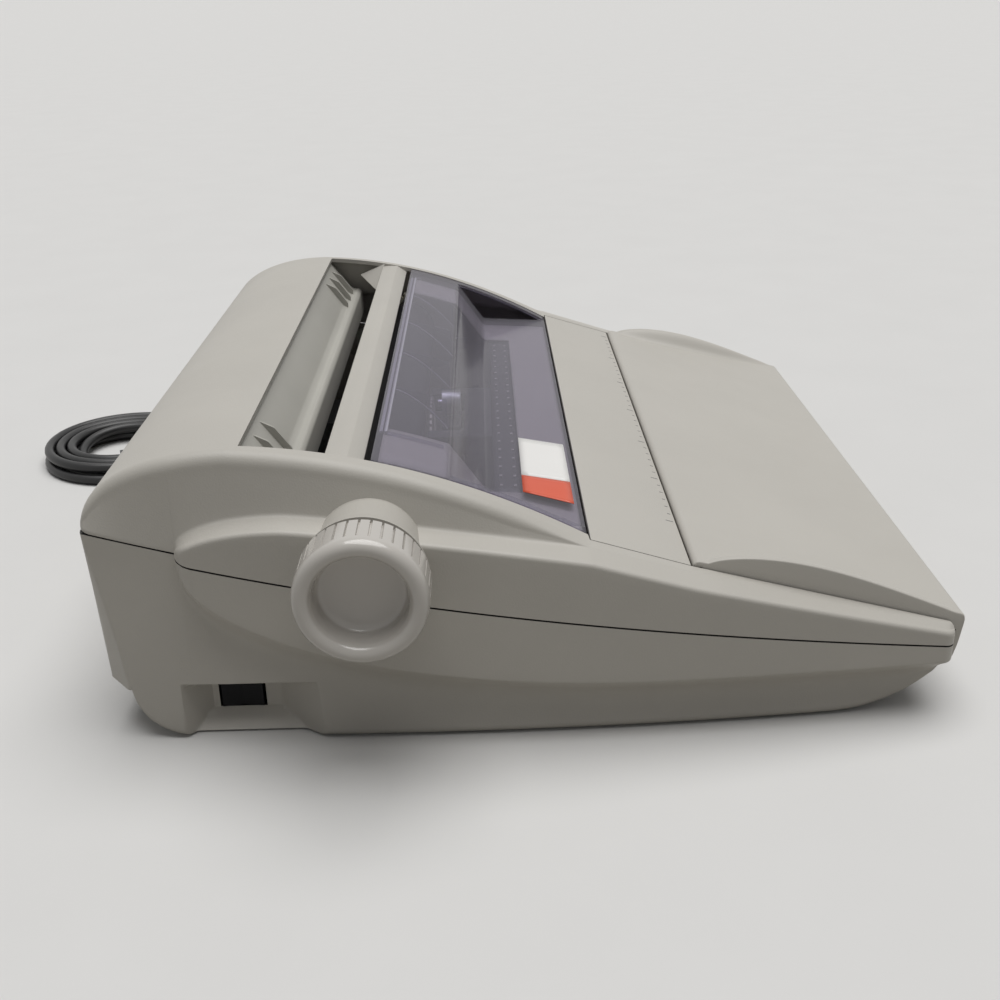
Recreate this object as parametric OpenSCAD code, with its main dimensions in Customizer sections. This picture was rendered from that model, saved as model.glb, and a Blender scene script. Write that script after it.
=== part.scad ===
// Portable electronic typewriter with a hinged keyboard cover and a hinged smoky
// window over the printing mechanism. Millimetres, +Z up, operator at -Y.

/* [Case] */
// Width over the two side pods
body_w = 400; // [390:1:420]
// Depth from the front lip to the rear wall
body_d = 370.5; // [362:0.5:386]
// Height of the hump above the table
body_h = 130.4; // [127:0.2:138]
// Wall of the moulded cases
wall = 2.6; // [2.2:0.1:3]
// How far the side pods stand out from the hull
pod_proud = 10; // [7:0.5:12]
// Height of the parting seam at the front tip
seam_front_z = 35; // [33:0.5:38]
// Gap between cases, covers and panels
seam_gap = 0.6; // [0.4:0.1:1]
// Height of the rubber feet under the hull
foot_h = 1.2; // [1:0.1:3]
// Diameter of the rubber feet
foot_d = 20; // [14:1:24]

/* [Covers] */
// Depth of the keyboard cover
keyboard_run = 118.5; // [114:0.5:124]
// Depth of the deck strip between the covers
deck_run = 44.2; // [40:0.2:48]
// Depth of the smoky window
window_run = 88.7; // [86:0.2:92]
// Half width of the window opening
window_half = 174.5; // [172:0.5:176]
// Half width of the deck opening
deck_half = 179.6; // [178:0.2:180.4]
// Height of the deck at the window's front edge
deck_z = 86.9; // [85:0.1:89]
// Height of the deck at its front edge
deck_front_z = 73.1; // [72:0.1:74]
// Height of the keyboard cover's front edge
lip_z = 47; // [45.5:0.1:48]
// Thickness of the keyboard cover and deck
panel_t = 2.5; // [2:0.1:3]
// Thickness of the window
window_t = 2.2; // [1.6:0.1:2.6]
// Height of the keyboard cover's side ridges
ridge_h = 8; // [5:0.5:10]
// Depth of the paper slot from the bar to the hood
slot_run = 34; // [30:0.5:38]
// Diameter of the hinge pins
hinge_pin_d = 3; // [2.4:0.1:3.4]

/* [Platen] */
// Diameter of the rubber platen
platen_d = 32; // [28:0.5:33]
// Length of the rubber platen
platen_l = 300; // [280:1:302]
// Depth of the platen's axis below the top of the hump
platen_drop = 41.9; // [40.4:0.1:43.4]
// Diameter of the platen shaft
shaft_d = 8; // [6:0.5:9]
// Diameter of the knob
knob_d = 53; // [46:0.5:56]
// Depth of the knob along its axis
knob_l = 19; // [16:0.5:24]
// Diameter of the case collar behind the knob
collar_d = 44; // [38:0.5:45]
// How far the knob's back stands out from the pod
knob_out = 20; // [12:0.5:24]
// Number of grooves round the knob
knob_grooves = 36; // [24:1:48]
// Diameter of the feed rollers
feed_d = 16; // [12:0.5:17]
// Tooth count of the platen gear
gear_teeth = 34; // [30:1:36]
// Tooth count of the line feed pinion
pinion_teeth = 12; // [10:1:14]

/* [Carriage] */
// Diameter of the guide shaft
guide_d = 8; // [6:0.5:9]
// Width of the carriage
carriage_w = 64; // [56:1:72]
// Radius of the print wheel
wheel_r = 31; // [28:0.5:32]
// Number of petals on the print wheel
petals = 48; // [36:1:60]
// Radius of the belt pulleys
pulley_r = 5.4; // [4.5:0.1:6]

/* [Keyboard] */
// Spacing of the keys along a row
key_pitch = 19; // [18:0.25:20]
// Spacing of the rows up the slope
row_pitch = 18; // [17:0.25:18.5]
// Width of a key at its foot
key_w = 16.4; // [14:0.2:16.8]
// Height of a key
key_h = 6.5; // [5.5:0.5:7]
// Keys in each row, from the rear
row_keys = 14; // [12:1:15]
// Width of the space bar
space_w = 130; // [110:1:150]

/* [Mains] */
// Diameter of the mains cord
cord_d = 6.4; // [6:0.1:6.8]
// Turns in the stored coil, in two layers
coil_turns = 6.5; // [4.5:2:8.5]
// Radius of the coil's innermost turn
coil_r = 28; // [26:0.5:32]
// Width of the power rocker
rocker_w = 20; // [17:0.5:21]
// Height of the power rocker
rocker_h = 12; // [10:0.5:12.5]

/* [Hidden] */
$fn = 64;
fit = 0.05;
run_gap = 0.3;
eps = 0.01;

// Places along the depth, from the front lip to the rear wall
bar_gap = 9.3;
bar_run = 9.6;
rear_run = 66.2;
// The drawn depths add up to the whole depth, and all share what is more or less
depth_scale = body_d / (keyboard_run + deck_run + window_run + bar_gap + bar_run + slot_run + rear_run);
lip_y = -body_d / 2;
hood_y = body_d / 2;
deck_y = lip_y + keyboard_run * depth_scale;
window_y = deck_y + deck_run * depth_scale;
window_end = window_y + window_run * depth_scale;
bar_y = window_end + bar_gap * depth_scale;
bar_end = bar_y + bar_run * depth_scale;
slot_end = bar_end + slot_run * depth_scale;
peak_y = slot_end + 4 * depth_scale;
tip_y = lip_y + 4.75 * depth_scale;
platen_y = window_end + 1.2;
platen_z = body_h - platen_drop;
centre_x = (knob_out + knob_l) / 2;

// Outline of the pods and hull
pod_half = body_w / 2;
pod_widest_y = 45 * depth_scale;
pod_plan_r = 1950;
pod_crest_y = slot_end - 17 * depth_scale;
pod_crest_z = 104.8;
pod_tip_y = pod_crest_y + 42 * depth_scale;
pod_tip_z = 91;
pod_edge_r = 4;
pod_low_y = -95 * depth_scale;
pod_low_z = 27;
pod_low_h = 60;
shoulder_drop = 3.5;
undercut_h = 5;
hull_corner_r = 2.5;
hull_flare = 2;
rim_fall = 0.0416;
rim_r = 6;
wall_lean = 3.5;
tip_z = 43.2;
seam_rise = 47.5;
seam_sweep = 18;
seam_rear_z = seam_front_z + seam_rise + seam_sweep;
hood_power = 2.1;
rear_r = 5;
rear_low_z = 22;
rear_low_run = 45 * depth_scale;
bevel_in = 24;
bevel_back = 25;
front_low_run = 55.5 * depth_scale;
front_low_z = 34;

function mix(a, b, t) = a + (b - a) * t;
function clip(v, a, b) = max(a, min(b, v));
function quarter(u) = sqrt(max(0, 1 - u * u));

function rear_round(y) = y < hood_y - rear_r ? 0 : rear_r * (1 - quarter((y - hood_y + rear_r) / rear_r));
function hull_half(y) =
  pod_half - pod_proud - pow(y - pod_widest_y, 2) / (2 * pod_plan_r) - rear_round(y);
function proud(y) = y < pod_tip_y - 8 ? pod_proud : pod_proud * quarter((y - pod_tip_y + 8) / 8);
function seam_z(y) =
  let (t = (y - tip_y) / (hood_y - tip_y))
  seam_front_z + seam_rise * t + seam_sweep * t * t * t;
function shoulder_z(y) =
  y > deck_y ? mix(deck_front_z, deck_z, (y - deck_y) / (window_y - deck_y))
  : mix(tip_z, deck_front_z, (y - tip_y) / (deck_y - tip_y));
function hood_z(y) =
  seam_rear_z + (body_h - seam_rear_z)
    * pow(max(0, 1 - pow((y - peak_y) / (hood_y - peak_y), hood_power)), 1 / hood_power);
function rim_z(y) =
  y > peak_y ? hood_z(y)
  : y < window_y ? shoulder_z(y)
  : let (d = peak_y - y, run = peak_y - window_y)
    body_h - rim_fall * d - (body_h - deck_z - rim_fall * run) * pow(d / run, 2);
function band_z(y) =
  y > pod_crest_y ? pod_tip_z + (pod_crest_z - pod_tip_z)
    * quarter((y - pod_crest_y) / (pod_tip_y - pod_crest_y))
  : y < window_y ? shoulder_z(y)
  : pod_crest_z - (pod_crest_z - deck_z) * pow((pod_crest_y - y) / (pod_crest_y - window_y), 1.25);
function pod_low(y) =
  pod_low_z + pod_low_h * (1 - quarter(clip((y - pod_low_y) / (pod_tip_y - pod_low_y), 0, 1)));
function belly_z(y) =
  y < tip_y + front_low_run - 3
    ? front_low_z - (front_low_z - foot_h)
      * quarter(clip((tip_y + front_low_run - 3 - y) / front_low_run, 0, 1))
  : y > hood_y - rear_low_run
    ? foot_h + (rear_low_z - foot_h) * pow((y - hood_y + rear_low_run) / rear_low_run, 1.6)
  : foot_h;
function bevel_x(y, z) =
  let (t = clip((seam_rear_z - z) / (seam_rear_z - rear_low_z), 0, 1), back = 0.5 + bevel_back * t)
  hull_half(min(y, hood_y - rear_r)) + hull_flare - bevel_in * t * clip((y - hood_y + back) / back, 0, 1);

// Stations along the depth: close together at the ends and round the pod's rear tip
function spread(a, b, n, first) =
  [for (i = [first:n]) mix(a, b, (1 - cos(180 * i / n)) / 2)];
stations = concat(
  spread(tip_y, window_y - 0.8, 9, 0),
  spread(window_y - 0.3, slot_end, 10, 0),
  [for (d = [-14, -8, -4.5, -2, -0.5, 0, 0.3]) pod_tip_y + d],
  spread(pod_tip_y + 0.3, hood_y, 10, 1)
);
open_stations = 21;
function end_wall(y) = y < tip_y + wall - eps || y > hood_y - wall + eps;

// One half of the upper case's section at y, outer then inner, as far as the openings' edge
function edge_x(y) = y < window_y - 0.5 ? deck_half : min(window_half, hull_half(y) - 9);
function upper_outer(y) =
  let (
    zs = seam_z(y),
    top = max(rim_z(y) - (y < tip_y + 3 ? 3 - (y - tip_y) : 0), zs + 2.4),
    zt = clip(band_z(y) - shoulder_drop, zs + 1, top - 0.8),
    zb = clip(band_z(y), zt + 0.4, top - 0.2),
    xo = hull_half(y) + proud(y),
    xe = edge_x(y),
    xw = max(hull_half(y) - 1.5, xe + 2.2),
    re = min(pod_edge_r, (zt - zs) * 0.8),
    rx = min(pod_edge_r, (xo - xw) * 0.6),
    xr = max(xw - wall_lean * clip((top - zb) / 20, 0.1, 1), xe + 1.6),
    rt = min(rim_r, (top - zb) * 0.6),
    rr = min(rim_r, (xr - xe) * 0.6)
  )
  [
    [xo, zs],
    [xo, zt - re],
    [xo - 0.29 * rx, zt - 0.29 * re],
    [xo - rx, zt],
    [xw, zb],
    [(xw + xr) / 2, mix(zb, top - rt, 0.5)],
    [xr, top - rt],
    [xr - 0.29 * rr, top - 0.29 * rt],
    [xr - rr, top],
    [xe, top]
  ];
function upper_inner(y) =
  let (
    zs = seam_z(y),
    roof = min(rim_z(y) - wall, rim_z(min(y + wall, hood_y)) - (y > peak_y ? 0 : wall)),
    out = upper_outer(y),
    xe = edge_x(y),
    in_part = (out[0][0] - wall - xe - 0.2) / (out[0][0] - xe),
    shut = end_wall(y)
  )
  [for (i = [0:len(out) - 1])
    let (
      low = zs + 0.03 * i,
      z = i == 0 ? zs : i < 3 ? out[i][1] - wall * i * 0.3 : out[i][1] - wall
    )
    [xe + (out[i][0] - xe) * in_part + 0.02 * (len(out) - 1 - i), shut ? low : max(low, min(z,
      max(roof, low)))]];

// One half of the lower case's section at y, outer then inner
function lower_outer(y) =
  let (
    zs = seam_z(y),
    zb = min(belly_z(y), zs - 4),
    h = zs - zb,
    zp = clip(pod_low(y), zb + 0.42 * h, zs - 0.2 * h),
    zu = max(zp - undercut_h, zb + 0.25 * (zp - zb)),
    rb = min(hull_corner_r, 0.6 * (zu - zb)),
    xo = hull_half(y) + proud(y),
    xh = hull_half(y),
    xb = xh + hull_flare * clip((y - tip_y) / 40, 0, 1),
    raw = [
      [xo, zs],
      [xo, zp + 0.1 * h],
      [xo - min(2, proud(y) * 0.3), zp],
      [xh, zu],
      [(xh + xb) / 2, mix(zu, zb + rb, 0.5)],
      [xb, zb + rb],
      [xb - 0.29 * rb, zb + 0.29 * rb],
      [xb - rb, zb],
      [xh * 0.66, zb],
      [xh * 0.33, zb]
    ]
  )
  [for (p = raw) [min(p[0], y > pod_tip_y ? bevel_x(y, p[1]) : p[0]), p[1]]];
function lower_inner(y) =
  let (
    zs = seam_z(y),
    out = lower_outer(y),
    floor_z = max(belly_z(y) + wall, belly_z(min(y + wall, hood_y))),
    shut = end_wall(y)
  )
  [for (i = [0:len(out) - 1])
    let (
      x = out[i][0] - wall * (i < 8 ? 1 : 1 - 0.2 * (i - 7)) - 0.02 * i,
      z = i == 0 ? zs : i < 5 ? out[i][1] + 0.3 * wall : max(out[i][1] + 0.6 * wall, floor_z)
    )
    [x, shut ? zs - 0.03 * i : min(zs - 0.03 * i, max(z, min(floor_z, zs)))]];

// Both halves of a section, left to right, as points in space
function both(half, y) =
  concat([for (p = half) [-p[0], y, p[1]]], [for (i = [len(half) - 1:-1:0]) [half[i][0], y, half[i][1]]]);

// A shell lofted through sections that each hold an outer and an inner line.
// The middle of the first open_n sections is left open, as far as each half's last point.
module shell_loft(outer, inner, open_n) {
  m = len(outer);
  n = len(outer[0]);
  ring = 2 * n;
  mid = n / 2 - 1;
  cut = open_n - 1;
  points = [for (k = [0:m - 1]) each concat(outer[k], inner[k])];
  function quad(a, b, c, d) = [[a, b, c], [a, c, d]];
  function near_cap(a) = quad(a + n, a + n + 1, a + 1, a);
  function far_cap(a) = quad(a, a + 1, a + n + 1, a + n);
  function start_edge(a) = quad(a, a + ring, a + ring + n, a + n);
  function end_edge(a) = quad(a + ring, a, a + n, a + ring + n);
  skin = [for (k = [0:m - 2], i = [0:n - 2])
    let (a = k * ring + i, b = a + ring)
    if (i != mid || k >= cut)
      each concat(quad(a, a + 1, b + 1, b), quad(b + n, b + n + 1, a + n + 1, a + n))];
  rims = [for (k = [0:m - 2]) each concat(start_edge(k * ring), end_edge(k * ring + n - 1))];
  sills = [for (k = [0:1:cut - 1]) each concat(end_edge(k * ring + mid), start_edge(k * ring + mid + 1))];
  front = [for (i = [0:n - 2]) if (i != mid || cut <= 0) each near_cap(i)];
  rear = [for (i = [0:n - 2]) each far_cap((m - 1) * ring + i)];
  step = cut > 0 ? near_cap(cut * ring + mid) : [];
  polyhedron(points, concat(skin, rims, sills, front, rear, step));
}

// Puts every piece in the part's frame, whose origin is under the middle of its box
module place() {
  translate([centre_x, 0, 0]) children();
}

// A profile drawn in (y, z), extruded across the width from x0 to x1
module across(x0, x1) {
  translate([x0, 0, 0])
    rotate([90, 0, 90])
      linear_extrude(x1 - x0) children();
}

// A round bar along X
module bar(x0, x1, y, z, r) {
  translate([x0, y, z])
    rotate([0, 90, 0])
      cylinder(h = x1 - x0, r = r);
}

module box(x0, x1, y0, y1, z0, z1) {
  translate([x0, y0, z0]) cube([x1 - x0, y1 - y0, z1 - z0]);
}

// Cases
collar_end = -pod_half - knob_out + 1;
collar_in = -hull_half(platen_y) + 9;
pocket_y = hood_y - 56.6 * depth_scale;
pocket_z = 14.4;
pocket_x = -hull_half(pocket_y) + 12;

module upper_case() {
  color("#b9b7ad") place() difference() {
    shell_loft(
      [for (y = stations) both(upper_outer(y), y)],
      [for (y = stations) both(upper_inner(y), y)],
      open_stations
    );
    bar(-pod_half - 2, collar_in, platen_y, platen_z, collar_d / 2 + fit);
  }
}

// Collar behind the knob: a cup through the side of both cases, with a hole for the shaft
module knob_collar() {
  color("#b7b5ab") place() difference() {
    bar(collar_end, collar_in, platen_y, platen_z, collar_d / 2);
    bar(collar_end + 3, collar_in + 1, platen_y, platen_z, collar_d / 2 - 3);
    bar(collar_end - 1, collar_end + 9, platen_y, platen_z, shaft_d / 2 + 1);
  }
}

// Bar along the front of the paper slot, between the two rails of the upper case
module slot_bar() {
  z = rim_z(bar_y);
  color("#bab8ae") place() across(-window_half, window_half)
    polygon([[bar_y - 3.6, z - 11], [bar_y, z - 0.1], [bar_y + 3, rim_z(bar_y + 3) - 0.6],
      [bar_end, rim_z(bar_end) - 1],
      [bar_end, z - 14], [bar_end - 2, z - 14], [bar_end - 2, z - 4], [bar_y + 1, z - 4],
        [bar_y - 1.6, z - 12]]);
}

// Rectangle of the switch scoop at x, from front to rear and from z0 to z1
function scoop_ring(x, front, rear, z0, z1) =
  [for (c = [[-front, z0], [-front, z1], [rear, z1], [rear, z0]]) [x, pocket_y + c[0], c[1]]];

// Section at y of the block that the scoop is sunk into, set just inside the hull's skin
function pocket_ring(y) =
  let (out = 0.4 - hull_half(y), low = belly_z(y) + 1, top = pocket_z + 17)
  [[out, y, low], [out, y, top], [pocket_x + 2.5, y, top], [pocket_x + 2.5, y, low]];

module lower_case() {
  scoop_out = pocket_x - 30;
  color("#b2b0a6") place() difference() {
    union() {
      shell_loft(
        [for (y = stations) both(lower_outer(y), y)],
        [for (y = stations) both(lower_inner(y), y)],
        0
      );
      prism_loft([for (y = [-36, -12, 12, 27]) pocket_ring(pocket_y + y)]);
    }
    bar(-pod_half - 2, collar_in, platen_y, platen_z, collar_d / 2 + fit);
    prism_loft([scoop_ring(pocket_x, 17, 13, 8, 21), scoop_ring(scoop_out, 58, 38, -17, 39)]);
    box(pocket_x - 1, pocket_x + 4, pocket_y - rocker_w / 2 - run_gap, pocket_y + rocker_w / 2 + run_gap,
      pocket_z - rocker_h / 2 - run_gap, pocket_z + rocker_h / 2 + run_gap);
    translate([cord_x, hood_y - 6, cord_z])
      rotate([-90, 0, 0])
        cylinder(h = 9, r = cord_d / 2 + 2);
  }
}

// Paper chute: the sloped rear wall, the lip, its apron into the throat and the guide ribs
function chute_at(q) = [slot_end + q[0] * depth_scale, rim_z(slot_end) - wall - 0.3 + q[1]];
module paper_chute() {
  color("#aeaca3") place() union() {
    across(-window_half - 4, window_half + 4)
      polygon([for (q = [
        [4, 0], [1.5, 0], [-11, -17], [-13.6, -18.8], [-16.4, -18.6], [-18.4, -20.4],
        [-19.4, -33.5], [-17.8, -33.5], [-16.9, -21.6], [-13, -21.3], [-9.5, -18.5]
      ]) chute_at(q)]);
    for (side = [-1, 1], rib = [0:2])
      across(side * (window_half - 12 - 17 * rib) - 0.6, side * (window_half - 12 - 17 * rib) + 0.6)
        polygon([for (q = [[-0.6, -3], [-7, -6.2], [-14, -16], [-14, -19], [-11, -17]]) chute_at(q)]);
  }
}

// Sloped keyboard frame of reference: origin at the cover's top rear edge
cover_z = deck_front_z + 2.4;
cover_y = deck_y - 0.4;
slope = atan((cover_z - lip_z) / (cover_y - lip_y - 2));
cover_len = (cover_y - lip_y - 2) / cos(slope);
lip_s = (lip_y - cover_y - 5 * sin(slope)) / cos(slope);
bezel_h = -10;
cover_half = deck_half - 0.8;
nose_r = 2.6;
hinge_s = -3;
hinge_y = cover_y + hinge_s * cos(slope) + nose_r * sin(slope);
hinge_z = cover_z + hinge_s * sin(slope) - nose_r * cos(slope);

module on_slope() {
  translate([0, cover_y, cover_z])
    rotate([slope, 0, 0]) children();
}

// A profile drawn in slope coordinates (s, h), extruded across the width
module across_slope(x0, x1) {
  on_slope() across(x0, x1) children();
}

key_area_half = row_keys * key_pitch / 2 + 2;
row_step = row_pitch * depth_scale;
first_row_s = -24 * depth_scale;
rows = 4;
key_area_front = first_row_s - rows * row_step - 10.5 * depth_scale;

module deck_panel() {
  wall_y = cover_y + 0.4 + seam_gap;
  color("#b7b5ab") place() difference() {
    union() {
      across(-deck_half + 0.2, deck_half - 0.2)
        polygon([[window_y - 1, shoulder_z(window_y - 1)], [wall_y, shoulder_z(wall_y)],
          [wall_y, hinge_z - 9],
          [wall_y + 2.2, hinge_z - 9], [wall_y + 2.2, shoulder_z(wall_y + 2.2) - panel_t],
          [window_y - 1, shoulder_z(window_y - 1) - panel_t]]);
      across_slope(-deck_half + 0.2, deck_half - 0.2)
        polygon([[2, bezel_h], [2, bezel_h - panel_t], [-cover_len + 16, bezel_h - panel_t],
          [-cover_len + 16, bezel_h]]);
      for (side = [-1, 1])
        hull() {
          bar(side * (deck_half - 2) - 1.5, side * (deck_half - 2) + 1.5, hinge_y, hinge_z, nose_r);
          box(side * (deck_half - 2) - 1.5, side * (deck_half - 2) + 1.5, wall_y, wall_y + 1,
            hinge_z - 6, hinge_z - 0.5);
        }
    }
    on_slope() box(-key_area_half, key_area_half, key_area_front, first_row_s + row_step / 2 + 1,
      bezel_h - 9, bezel_h + 9);
    bar(-deck_half, deck_half, hinge_y, hinge_z, hinge_pin_d / 2 + fit);
  }
}

// Keyboard cover: sloped panel, rounded nose on the hinge line, lens-shaped ridges and a front lip
module keyboard_cover() {
  nose_half = deck_half - 4;
  function swell(t) = sin(180 * pow(t, 0.7));
  color("#bbb9af") place() union() {
    across_slope(-cover_half, cover_half)
      polygon([[hinge_s - 3.4, 0], [-cover_len + 4, 0], [-cover_len - 0.6, -0.8], [lip_s, -5],
        [lip_s + 1.5, -11.6],
        [lip_s + 3.9, -11.6], [lip_s + panel_t, -5.8], [-cover_len + 3.5, -panel_t],
          [hinge_s - 3.4, -panel_t]]);
    across_slope(-nose_half + 0.4, nose_half - 0.4)
      polygon([[hinge_s, 0], [hinge_s - 4, 0], [hinge_s - 4, -panel_t], [hinge_s, -2 * nose_r + 0.4]]);
    bar(-nose_half + 0.4, nose_half - 0.4, hinge_y, hinge_z, nose_r);
    bar(-deck_half + 1, deck_half - 1, hinge_y, hinge_z, hinge_pin_d / 2);
    for (side = [-1, 1])
      on_slope() ridge(side);
  }
  module ridge(side) {
    n = 12;
    run = cover_len - 12;
    sections = [for (k = [0:n])
      let (t = k / n, s = hinge_s - 5 - run * t, h = 0.2 + ridge_h * swell(t))
      [[cover_half, s, -panel_t - 3], [cover_half, s, h], [cover_half - 2, s, h],
        [cover_half - 3 - h, s, -0.6],
        [cover_half - 3 - h, s, -panel_t + 0.2], [cover_half - 2.4, s, -panel_t - 3]]];
    mirror([side < 0 ? 1 : 0, 0, 0]) prism_loft(sections);
  }
}

// A closed solid lofted through rings of equal length
module prism_loft(rings) {
  m = len(rings);
  n = len(rings[0]);
  points = [for (r = rings) each r];
  sides = [for (k = [0:m - 2], i = [0:n - 1])
    let (j = (i + 1) % n, a = k * n + i, b = k * n + j)
    each [[a, a + n, b + n], [a, b + n, b]]];
  caps = [for (i = [1:n - 2]) each [[0, i, i + 1], [(m - 1) * n, (m - 1) * n + i + 1, (m - 1) * n + i]]];
  polyhedron(points, concat(sides, caps));
}

// Window: flat rear part, steep facet and sunk front panel, with side walls up to the rim
crease_y = window_y + 57.7 * depth_scale;
sink_y = window_y + 41.2 * depth_scale;
sink_z = deck_z + 2.2;
window_gap = 0.8;
flat_half = window_half - window_gap;
sunk_half = window_half - 7;
pivot_y = window_end - 4;
pivot_z = rim_z(window_end) - 7;
plate_in = window_half - 9;
plate_out = plate_in + 2;
function skin_z(y) = rim_z(y) - 0.3;

module smoky_window() {
  front_y = window_y + window_gap;
  rear_line = [for (k = [0:4]) let (y = mix(window_end, crease_y, k / 4)) [y, skin_z(y)]];
  side_line = [for (k = [0:6]) let (y = mix(crease_y, front_y, k / 6)) [y, skin_z(y)]];
  under_rear = [for (k = [4:-1:0]) let (y = mix(window_end, crease_y, k / 4)) [y, skin_z(y) - window_t]];
  under_side = [for (k = [6:-1:0]) let (y = mix(crease_y, front_y, k / 6)) [y, skin_z(y) - window_t]];
  color("#5a5c78", 0.55) place() union() {
    across(-flat_half, flat_half)
      polygon(concat(rear_line, under_rear));
    across(-sunk_half, sunk_half)
      polygon([[crease_y, skin_z(crease_y)], [sink_y, sink_z], [front_y, skin_z(front_y)],
        [front_y, skin_z(front_y) - window_t],
        [sink_y + 0.6, sink_z - window_t], [crease_y + 1.4, skin_z(crease_y) - window_t]]);
    for (side = [-1, 1]) {
      across(side > 0 ? sunk_half - window_t : -sunk_half, side > 0 ? sunk_half : -sunk_half + window_t)
        polygon(concat(side_line, [[front_y, skin_z(front_y) - window_t], [sink_y, sink_z - window_t]]));
      across(side > 0 ? sunk_half - eps : -flat_half, side > 0 ? flat_half : -sunk_half + eps)
        polygon(concat(side_line, under_side));
      across(side > 0 ? plate_in - 4 : -plate_in + run_gap, side > 0 ? plate_in - run_gap : -plate_in + 4)
        polygon([[pivot_y - 3, skin_z(pivot_y) - 1], [pivot_y + 3, skin_z(pivot_y) - 1],
          [pivot_y + 2.2, pivot_z - 1.8],
          [pivot_y - 2.2, pivot_z - 1.8]]);
      bar(side > 0 ? plate_in - 1 : -plate_out, side > 0 ? plate_out : -plate_in + 1, pivot_y, pivot_z,
        hinge_pin_d / 2);
    }
  }
}

// Feet follow the curve of the hull
foot_x = 160;
foot_front_y = tip_y + 44 * depth_scale;
foot_rear_y = hood_y - 64 * depth_scale;
foot_places = [[-foot_x, foot_front_y], [foot_x, foot_front_y], [-foot_x, foot_rear_y],
  [foot_x, foot_rear_y]];
module rubber_feet() {
  belly = [for (y = stations) [y, belly_z(y) - 0.02]];
  color("#2b2b2d") place() difference() {
    for (p = foot_places)
      translate([p[0], p[1], 0]) cylinder(h = foot_h + 5, d = foot_d);
    across(-foot_x - foot_d, foot_x + foot_d)
      polygon(concat(belly, [[hood_y, 60], [tip_y, 60]]));
  }
}

// Mechanism frame
floor_z = foot_h + wall;
base_t = 1.5;
base_z = floor_z + base_t;
frame_y0 = window_y - 9;
frame_y1 = slot_end - 14;
wheel_y = platen_y - platen_d / 2 - 3;
wheel_z = platen_z - wheel_r;
wheel_motor_r = 13;
carriage_top = wheel_z - wheel_motor_r - 0.5;
guide_y = platen_y - 42 * depth_scale;
guide_z = carriage_top - 6;
rail_y = guide_y - 38 * depth_scale;
rail_z = carriage_top + 2;
feed_angle = -80;
feed_gap = platen_d / 2 + feed_d / 2 + run_gap;
feed_y = platen_y + feed_gap * cos(feed_angle);
feed_z = platen_z + feed_gap * sin(feed_angle);
gear_module = 1;
mesh = gear_module * (gear_teeth + pinion_teeth) / 2 + 0.15;
pinion_y = platen_y - mesh * cos(45);
pinion_z = platen_z - mesh * sin(45);

module chassis_plate() {
  color("#8f9294") place() box(-plate_out, plate_out, frame_y0, frame_y1, floor_z, base_z);
}

module side_plate(side) {
  difference() {
    across(side > 0 ? plate_in : -plate_out, side > 0 ? plate_out : -plate_in) difference() {
      polygon([[frame_y0, base_z], [frame_y1, base_z], [frame_y1, platen_z - 6],
        [platen_y + 15, platen_z + 2],
        [pivot_y + 5, pivot_z - 6], [pivot_y + 2.3, pivot_z + 2.1], [pivot_y - 2.3, pivot_z + 2.1],
        [pivot_y - 5, pivot_z - 6], [crease_y + 6, platen_z + 12], [sink_y + 2, deck_z - 9],
          [frame_y0, deck_z - 20]]);
      translate([pivot_y, pivot_z]) circle(r = hinge_pin_d / 2 + fit);
      translate([platen_y, platen_z]) circle(r = shaft_d / 2 + 4 + fit);
      translate([feed_y, feed_z]) circle(r = 3 + fit);
      translate([guide_y, guide_z]) circle(r = guide_d / 2 + fit);
      translate([pinion_y, pinion_z]) circle(r = 3.5);
    }
  }
}

module left_side_plate() {
  color("#9a9da0") place() side_plate(-1);
}

module right_side_plate() {
  color("#9a9da0") place() side_plate(1);
}

// Platen group
knob_grip = 7.4;
shaft_end = collar_end - 1 - knob_grip;
gear_x = plate_out + 2;
module platen_roller() {
  color("#26262a") place() difference() {
    bar(-platen_l / 2, platen_l / 2, platen_y, platen_z, platen_d / 2);
    bar(-platen_l / 2 - 1, platen_l / 2 + 1, platen_y, platen_z, shaft_d / 2 + fit);
  }
}

module platen_shaft() {
  color("#a9adb1") place() bar(shaft_end, gear_x + 6, platen_y, platen_z, shaft_d / 2);
}

module platen_bushes() {
  color("#d8d4c4") place() for (side = [-1, 1])
    difference() {
      union() {
        bar(side > 0 ? plate_in : -plate_out, side > 0 ? plate_out : -plate_in, platen_y, platen_z,
          shaft_d / 2 + 4);
        bar(side > 0 ? plate_in - 2 : -plate_in, side > 0 ? plate_in : -plate_in + 2, platen_y,
          platen_z, shaft_d / 2 + 6);
      }
      bar(-plate_out - 1, plate_out + 1, platen_y, platen_z, shaft_d / 2 + fit);
    }
}

// Knob: fluted band, rounded rim and a dished cup, revolved about the platen's axis
module platen_knob() {
  r = knob_d / 2;
  back = -pod_half - knob_out;
  rim = 5.5;
  cup = r - 8;
  cup_depth = knob_l - knob_grip - 2;
  groove_w = 0.7;
  color("#c4c2ba") place()
    translate([back, platen_y, platen_z]) rotate([0, -90, 0]) difference() {
      rotate_extrude() polygon(concat(
        [[0, 0], [r - 0.8, 0], [r - 0.8, knob_l - rim - 1]],
        [for (a = [0:15:180]) [r - rim + rim * cos(a), knob_l - rim + rim * sin(a)]],
        [[cup - 1.2, knob_l - cup_depth + 2], [cup - 4, knob_l - cup_depth], [0, knob_l - cup_depth]]
      ));
      translate([0, 0, -1]) cylinder(h = knob_grip + 1.1, r = shaft_d / 2 + fit);
      for (k = [0:knob_grooves - 1])
        rotate(360 / knob_grooves * k)
          translate([r - 1.7, -groove_w / 2, 0.8]) cube([2, groove_w, knob_l - rim - 2.6]);
    }
}

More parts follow.
